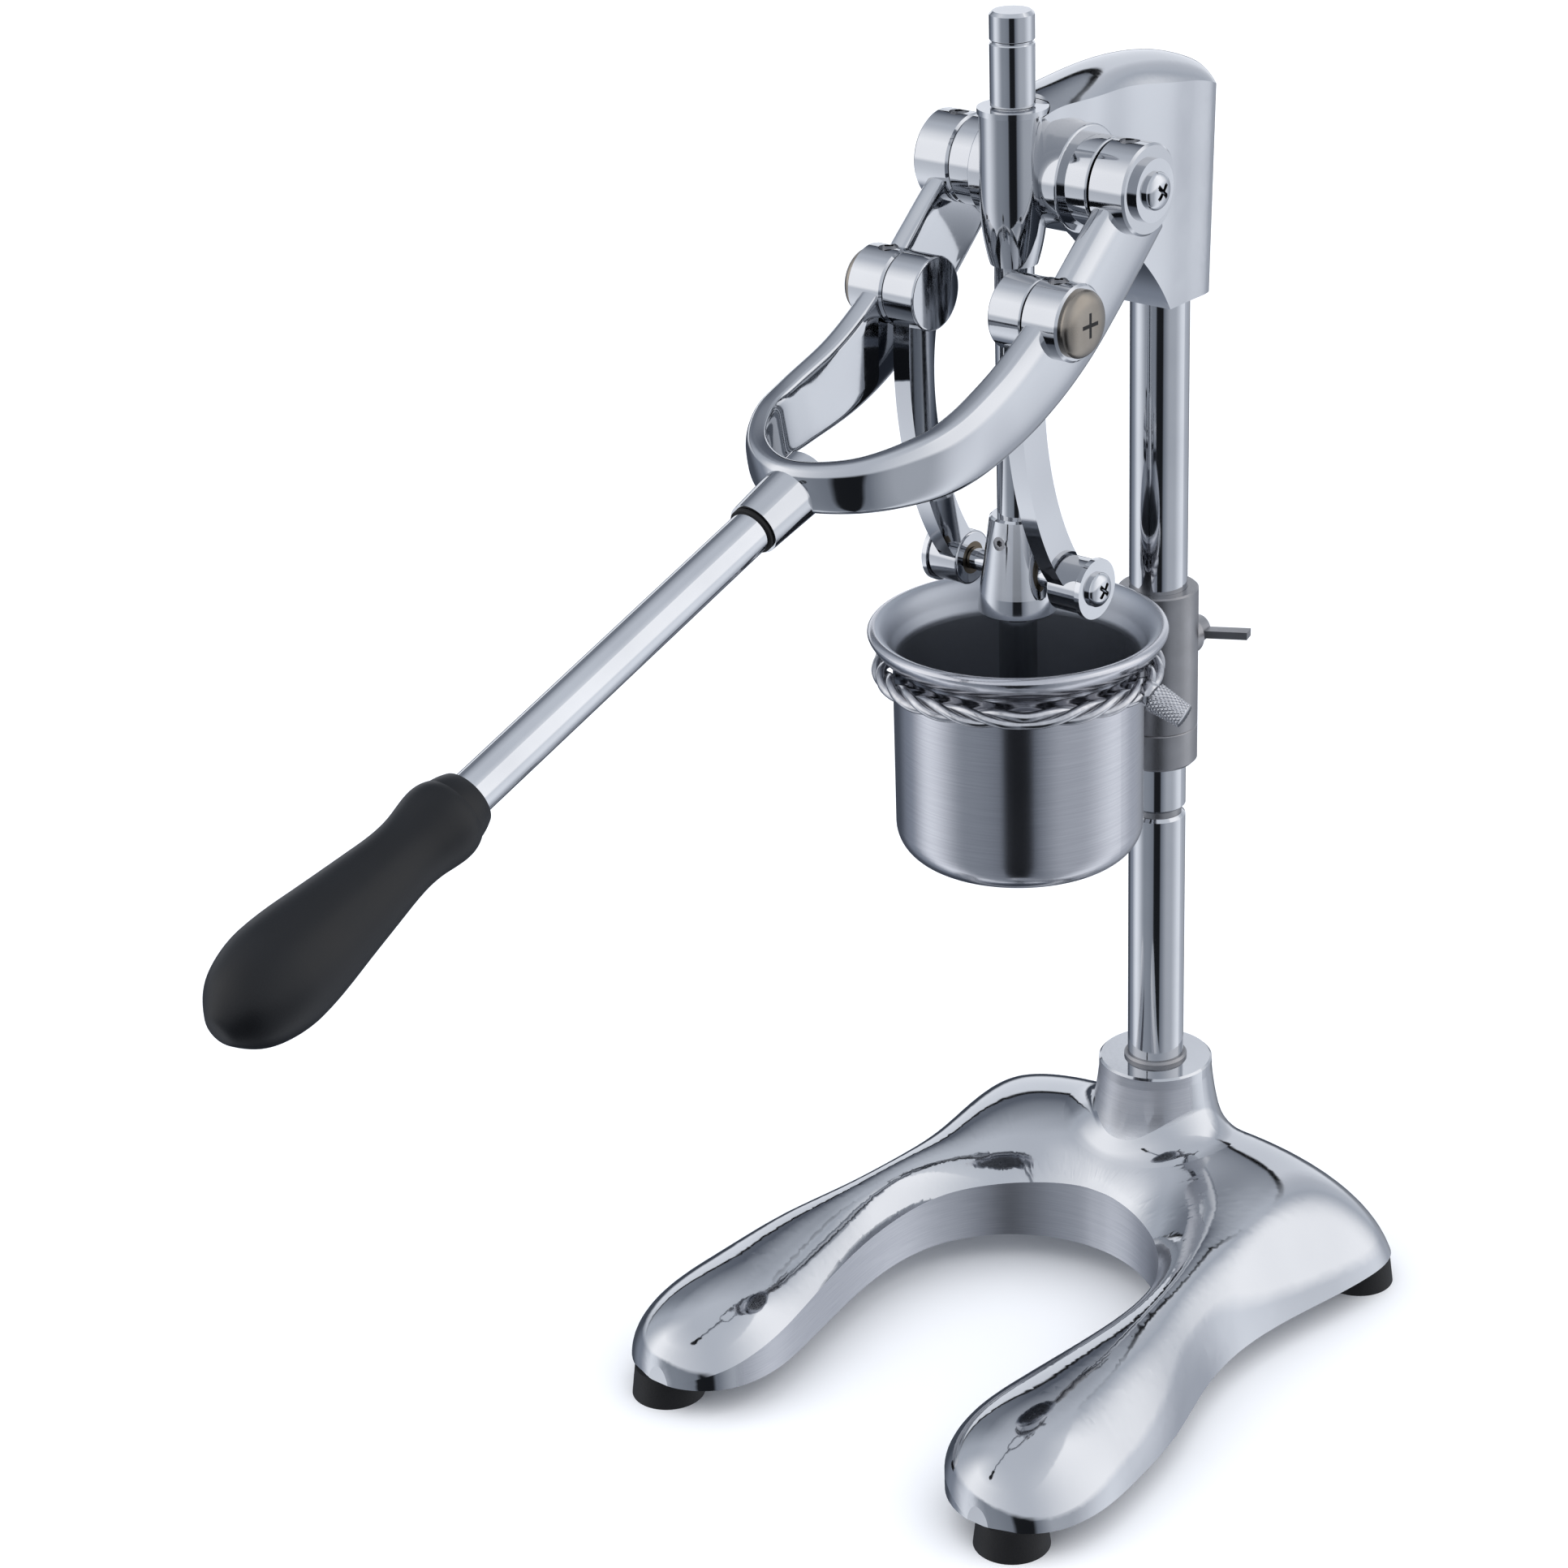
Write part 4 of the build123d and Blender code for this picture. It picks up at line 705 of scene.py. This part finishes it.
def laid_steel(tree):
    """Bright drawn steel strand, its tone varying in small random patches."""
    patch_mm = 2.5
    place = add(tree, "ShaderNodeTexCoord").outputs["Object"]
    patch = add(tree, "ShaderNodeTexNoise", {"Scale": 1000 / patch_mm, "Detail": 4.0}, {"Vector": place})
    tone = add(
        tree,
        "ShaderNodeMix",
        {6: linear("#a3a3a6"), 7: linear("#d2d3d6")},
        {0: patch.outputs["Fac"]},
        data_type="RGBA",
    )
    gloss = add(tree, "ShaderNodeMapRange", {"To Min": 0.12, "To Max": 0.28}, {"Value": patch.outputs["Fac"]})
    return add(
        tree,
        "ShaderNodeBsdfPrincipled",
        {"Metallic": 1.0},
        {"Base Color": tone.outputs[2], "Roughness": gloss.outputs[0]},
    )


strand_finish = finish_tree("laid_steel_strand", laid_steel)
laid_ring = shape("laid_ring", [seat_loops], strand_hoops)
piece("laid_ring", laid_ring, strand_finish, "carrier_ring", "carrier")

shank_radius = 0.0025
shank_start = -0.0026
head_start = 0.0055
head_length = 0.013
head_radius = 0.0056
head_end_radius = 0.0046
knurl_depth = 0.0005
knurl_count = 18
knurl_pitch = 0.0022
knurl_sides = 144
knurl_steps = 40


def knurled(share):
    """The finger grip's radius at a share of its length, cut by two crossing sets of grooves."""
    plain = head_radius + share * (head_end_radius - head_radius)
    climb = math.pi * share * head_length / knurl_pitch

    def radius_at(angle):
        groove = knurl_count * angle / 2
        ridge = abs(math.sin(groove + climb)) * abs(math.sin(groove - climb))
        return plain - knurl_depth * (1 - ridge)

    return radius_at


screw_loops = [clamp_loop(shank_start, lambda angle: shank_radius, knurl_sides)]
screw_loops.append(clamp_loop(head_start, lambda angle: shank_radius, knurl_sides))
for step in range(knurl_steps + 1):
    share = step / knurl_steps
    screw_loops.append(clamp_loop(head_start + share * head_length, knurled(share), knurl_sides))
knurled_screw = shape("knurled_screw", [screw_loops])
piece("knurled_screw", knurled_screw, strand_finish, "cup_clamp_screw", "clamp_screw")


# Floor and light: a plain pale table under a broad diffuser, in a grey studio with two bright side panels
# and a window to the right. The polished metal mirrors the panels, the dark gap at the camera and the dark
# rail behind as stripes.
def pale_table(tree):
    """Matt pale laminate."""
    cloud_mm = 400.0
    place = add(tree, "ShaderNodeTexCoord").outputs["Object"]
    cloud = add(tree, "ShaderNodeTexNoise", {"Scale": 1000 / cloud_mm, "Detail": 2.0}, {"Vector": place})
    tone = add(
        tree,
        "ShaderNodeMix",
        {6: linear("#f4f5f6"), 7: linear("#fafafb")},
        {0: cloud.outputs["Fac"]},
        data_type="RGBA",
    )
    return add(
        tree, "ShaderNodeBsdfPrincipled", {"Roughness": 0.85, "IOR": 1.4}, {"Base Color": tone.outputs[2]}
    )


def card(name, centre, facing, width, height, material):
    """A flat studio card that faces a point."""
    mesh = bpy.data.meshes.new(name)
    corners = [(-width / 2, -height / 2, 0), (width / 2, -height / 2, 0)]
    corners += [(width / 2, height / 2, 0), (-width / 2, height / 2, 0)]
    mesh.from_pydata(corners, [], [(0, 1, 2, 3)])
    mesh.materials.append(material)
    made = bpy.data.objects.new(name, mesh)
    bpy.context.scene.collection.objects.link(made)
    way = Vector(facing) - Vector(centre)
    made.matrix_world = Matrix.Translation(centre) @ way.to_track_quat("Z", "Y").to_matrix().to_4x4()
    return made


floor_size = 60.0
laminate_finish = finish_tree("matt_pale_laminate", pale_table)
table = card("table", (0, 0, 0), (0, 0, 1), floor_size, floor_size, laminate_finish)
table.visible_glossy = False


camera_azimuth = 40.81
diffuser = bpy.data.lights.new("diffuser", "SUN")
diffuser.energy = 0.9
diffuser.angle = math.radians(100.0)
diffuser_stand = bpy.data.objects.new("diffuser", diffuser)
diffuser_stand.visible_glossy = False
bpy.context.scene.collection.objects.link(diffuser_stand)


def studio_walls(tree):
    """Grey walls with a bright panel at either side, a dark gap at the camera and a dark rail behind."""
    gap_aside = math.radians(5.0)
    gap_dark = math.radians(11.0)
    gap_edge = math.radians(16.0)
    rail_level = 0.47
    rail_slope = 0.6
    rail_dark = 0.016
    rail_edge = 0.036
    towards_camera = (math.sin(math.radians(camera_azimuth)), -math.cos(math.radians(camera_azimuth)), 0)
    to_the_right = (math.cos(math.radians(camera_azimuth)), math.sin(math.radians(camera_azimuth)), 0)
    way = add(tree, "ShaderNodeTexCoord").outputs["Generated"]
    near = add(tree, "ShaderNodeVectorMath", {1: towards_camera}, {0: way}, operation="DOT_PRODUCT")
    right = add(tree, "ShaderNodeVectorMath", {1: to_the_right}, {0: way}, operation="DOT_PRODUCT")
    turn = add(
        tree,
        "ShaderNodeMath",
        links={0: right.outputs["Value"], 1: near.outputs["Value"]},
        operation="ARCTAN2",
    )
    either_side = add(tree, "ShaderNodeMath", links={0: turn.outputs[0]}, operation="ABSOLUTE")
    share = add(tree, "ShaderNodeMath", {1: math.pi}, {0: either_side.outputs[0]}, operation="DIVIDE")
    walls = add(tree, "ShaderNodeValToRGB", links={0: share.outputs[0]})
    walls.color_ramp.interpolation = "EASE"
    walls.color_ramp.elements[0].color = linear("#777c85")
    walls.color_ramp.elements[1].color = linear("#3f444d")
    for position, tone in ((0.3, "#8e939b"), (0.53, "#e3e6ec"), (0.7, "#868c97"), (0.85, "#4d525b")):
        walls.color_ramp.elements.new(position).color = linear(tone)
    window_side = add(
        tree,
        "ShaderNodeMapRange",
        {"From Min": 0.2, "From Max": 0.5, "To Max": 0.32},
        {"Value": right.outputs["Value"]},
    )
    lit = add(
        tree,
        "ShaderNodeMix",
        {7: linear("#dfe2e8")},
        {0: window_side.outputs[0], 6: walls.outputs[0]},
        data_type="RGBA",
    )
    aside = add(tree, "ShaderNodeMath", {1: gap_aside}, {0: turn.outputs[0]}, operation="ADD")
    off_axis = add(tree, "ShaderNodeMath", links={0: aside.outputs[0]}, operation="ABSOLUTE")
    gap = add(
        tree,
        "ShaderNodeMapRange",
        {"From Min": gap_dark, "From Max": gap_edge, "To Min": 0.1, "To Max": 1.0},
        {"Value": off_axis.outputs[0]},
    )
    height = add(tree, "ShaderNodeSeparateXYZ", links={0: way}).outputs["Z"]
    aloft = add(tree, "ShaderNodeValToRGB", links={0: share.outputs[0]})
    aloft.color_ramp.interpolation = "EASE"
    aloft.color_ramp.elements[0].color = linear("#c3c7ce")
    aloft.color_ramp.elements[1].color = linear("#646973")
    for position, tone in ((0.52, "#fdfdff"), (0.72, "#b3b8c0"), (0.86, "#7d828b")):
        aloft.color_ramp.elements.new(position).color = linear(tone)
    overhead = add(
        tree, "ShaderNodeMapRange", {"From Min": 0.55, "From Max": 0.95}, {"Value": height}
    )
    ceiling = add(
        tree,
        "ShaderNodeMix",
        {7: linear("#c4c8cf")},
        {0: overhead.outputs[0], 6: aloft.outputs[0]},
        data_type="RGBA",
    )
    behind = add(tree, "ShaderNodeMapRange", {"From Min": 0.7, "From Max": 0.85}, {"Value": share.outputs[0]})
    sweep = add(
        tree,
        "ShaderNodeMix",
        {7: linear("#d8dbe1")},
        {0: behind.outputs[0], 6: aloft.outputs[0]},
        data_type="RGBA",
    )
    slant = add(tree, "ShaderNodeMath", {1: rail_slope}, {0: right.outputs["Value"]}, operation="MULTIPLY")
    rail_height = add(tree, "ShaderNodeMath", {1: rail_level}, {0: slant.outputs[0]}, operation="ADD")
    from_rail = add(
        tree, "ShaderNodeMath", links={0: height, 1: rail_height.outputs[0]}, operation="SUBTRACT"
    )
    over_sweep = add(
        tree, "ShaderNodeMapRange", {"From Min": -0.02, "From Max": 0.02}, {"Value": from_rail.outputs[0]}
    )
    upper = add(
        tree,
        "ShaderNodeMix",
        links={0: over_sweep.outputs[0], 6: sweep.outputs[2], 7: ceiling.outputs[2]},
        data_type="RGBA",
    )
    above = add(tree, "ShaderNodeMapRange", {"From Min": -0.15, "From Max": -0.03}, {"Value": height})
    dimmed = add(
        tree,
        "ShaderNodeMix",
        {6: linear("#000000")},
        {0: gap.outputs[0], 7: lit.outputs[2]},
        data_type="RGBA",
    )
    room = add(
        tree,
        "ShaderNodeMix",
        links={0: above.outputs[0], 6: dimmed.outputs[2], 7: upper.outputs[2]},
        data_type="RGBA",
    )
    rail = add(tree, "ShaderNodeMath", links={0: from_rail.outputs[0]}, operation="ABSOLUTE")
    shade = add(
        tree,
        "ShaderNodeMapRange",
        {"From Min": rail_dark, "From Max": rail_edge, "To Min": 0.02, "To Max": 1.0},
        {"Value": rail.outputs[0]},
    )
    only_behind = add(
        tree, "ShaderNodeMix", {2: 1.0}, {0: behind.outputs[0], 3: shade.outputs[0]}, data_type="FLOAT"
    )
    shaded = add(
        tree,
        "ShaderNodeMix",
        {6: linear("#000000")},
        {0: only_behind.outputs[0], 7: room.outputs[2]},
        data_type="RGBA",
    )
    light = add(tree, "ShaderNodeBackground", {"Strength": 1.3}, {"Color": shaded.outputs[2]})
    add(tree, "ShaderNodeOutputWorld", links={"Surface": light.outputs[0]})


world = bpy.data.worlds.new("studio")
bpy.context.scene.world = world
world.use_nodes = True
world.node_tree.nodes.clear()
studio_walls(world.node_tree)
bpy.context.scene.view_settings.view_transform = "Standard"
bpy.context.scene.view_settings.look = "Medium High Contrast"

# Camera: a long lens a metre and a half away, looking down on the press from its front right.
camera_place = (0.7807, -1.1245, 0.8164)
camera_pitch = 24.13
camera_roll = -2.13
camera_lens = 88.8
lens = bpy.data.cameras.new("camera")
lens.lens = camera_lens
lens.sensor_width = 36.0
camera = bpy.data.objects.new("camera", lens)
bpy.context.scene.collection.objects.link(camera)
camera.matrix_world = (
    Matrix.Translation(camera_place)
    @ Matrix.Rotation(math.radians(camera_azimuth), 4, "Z")
    @ Matrix.Rotation(math.radians(90 - camera_pitch), 4, "X")
    @ Matrix.Rotation(math.radians(camera_roll), 4, "Z")
)
bpy.context.scene.camera = camera
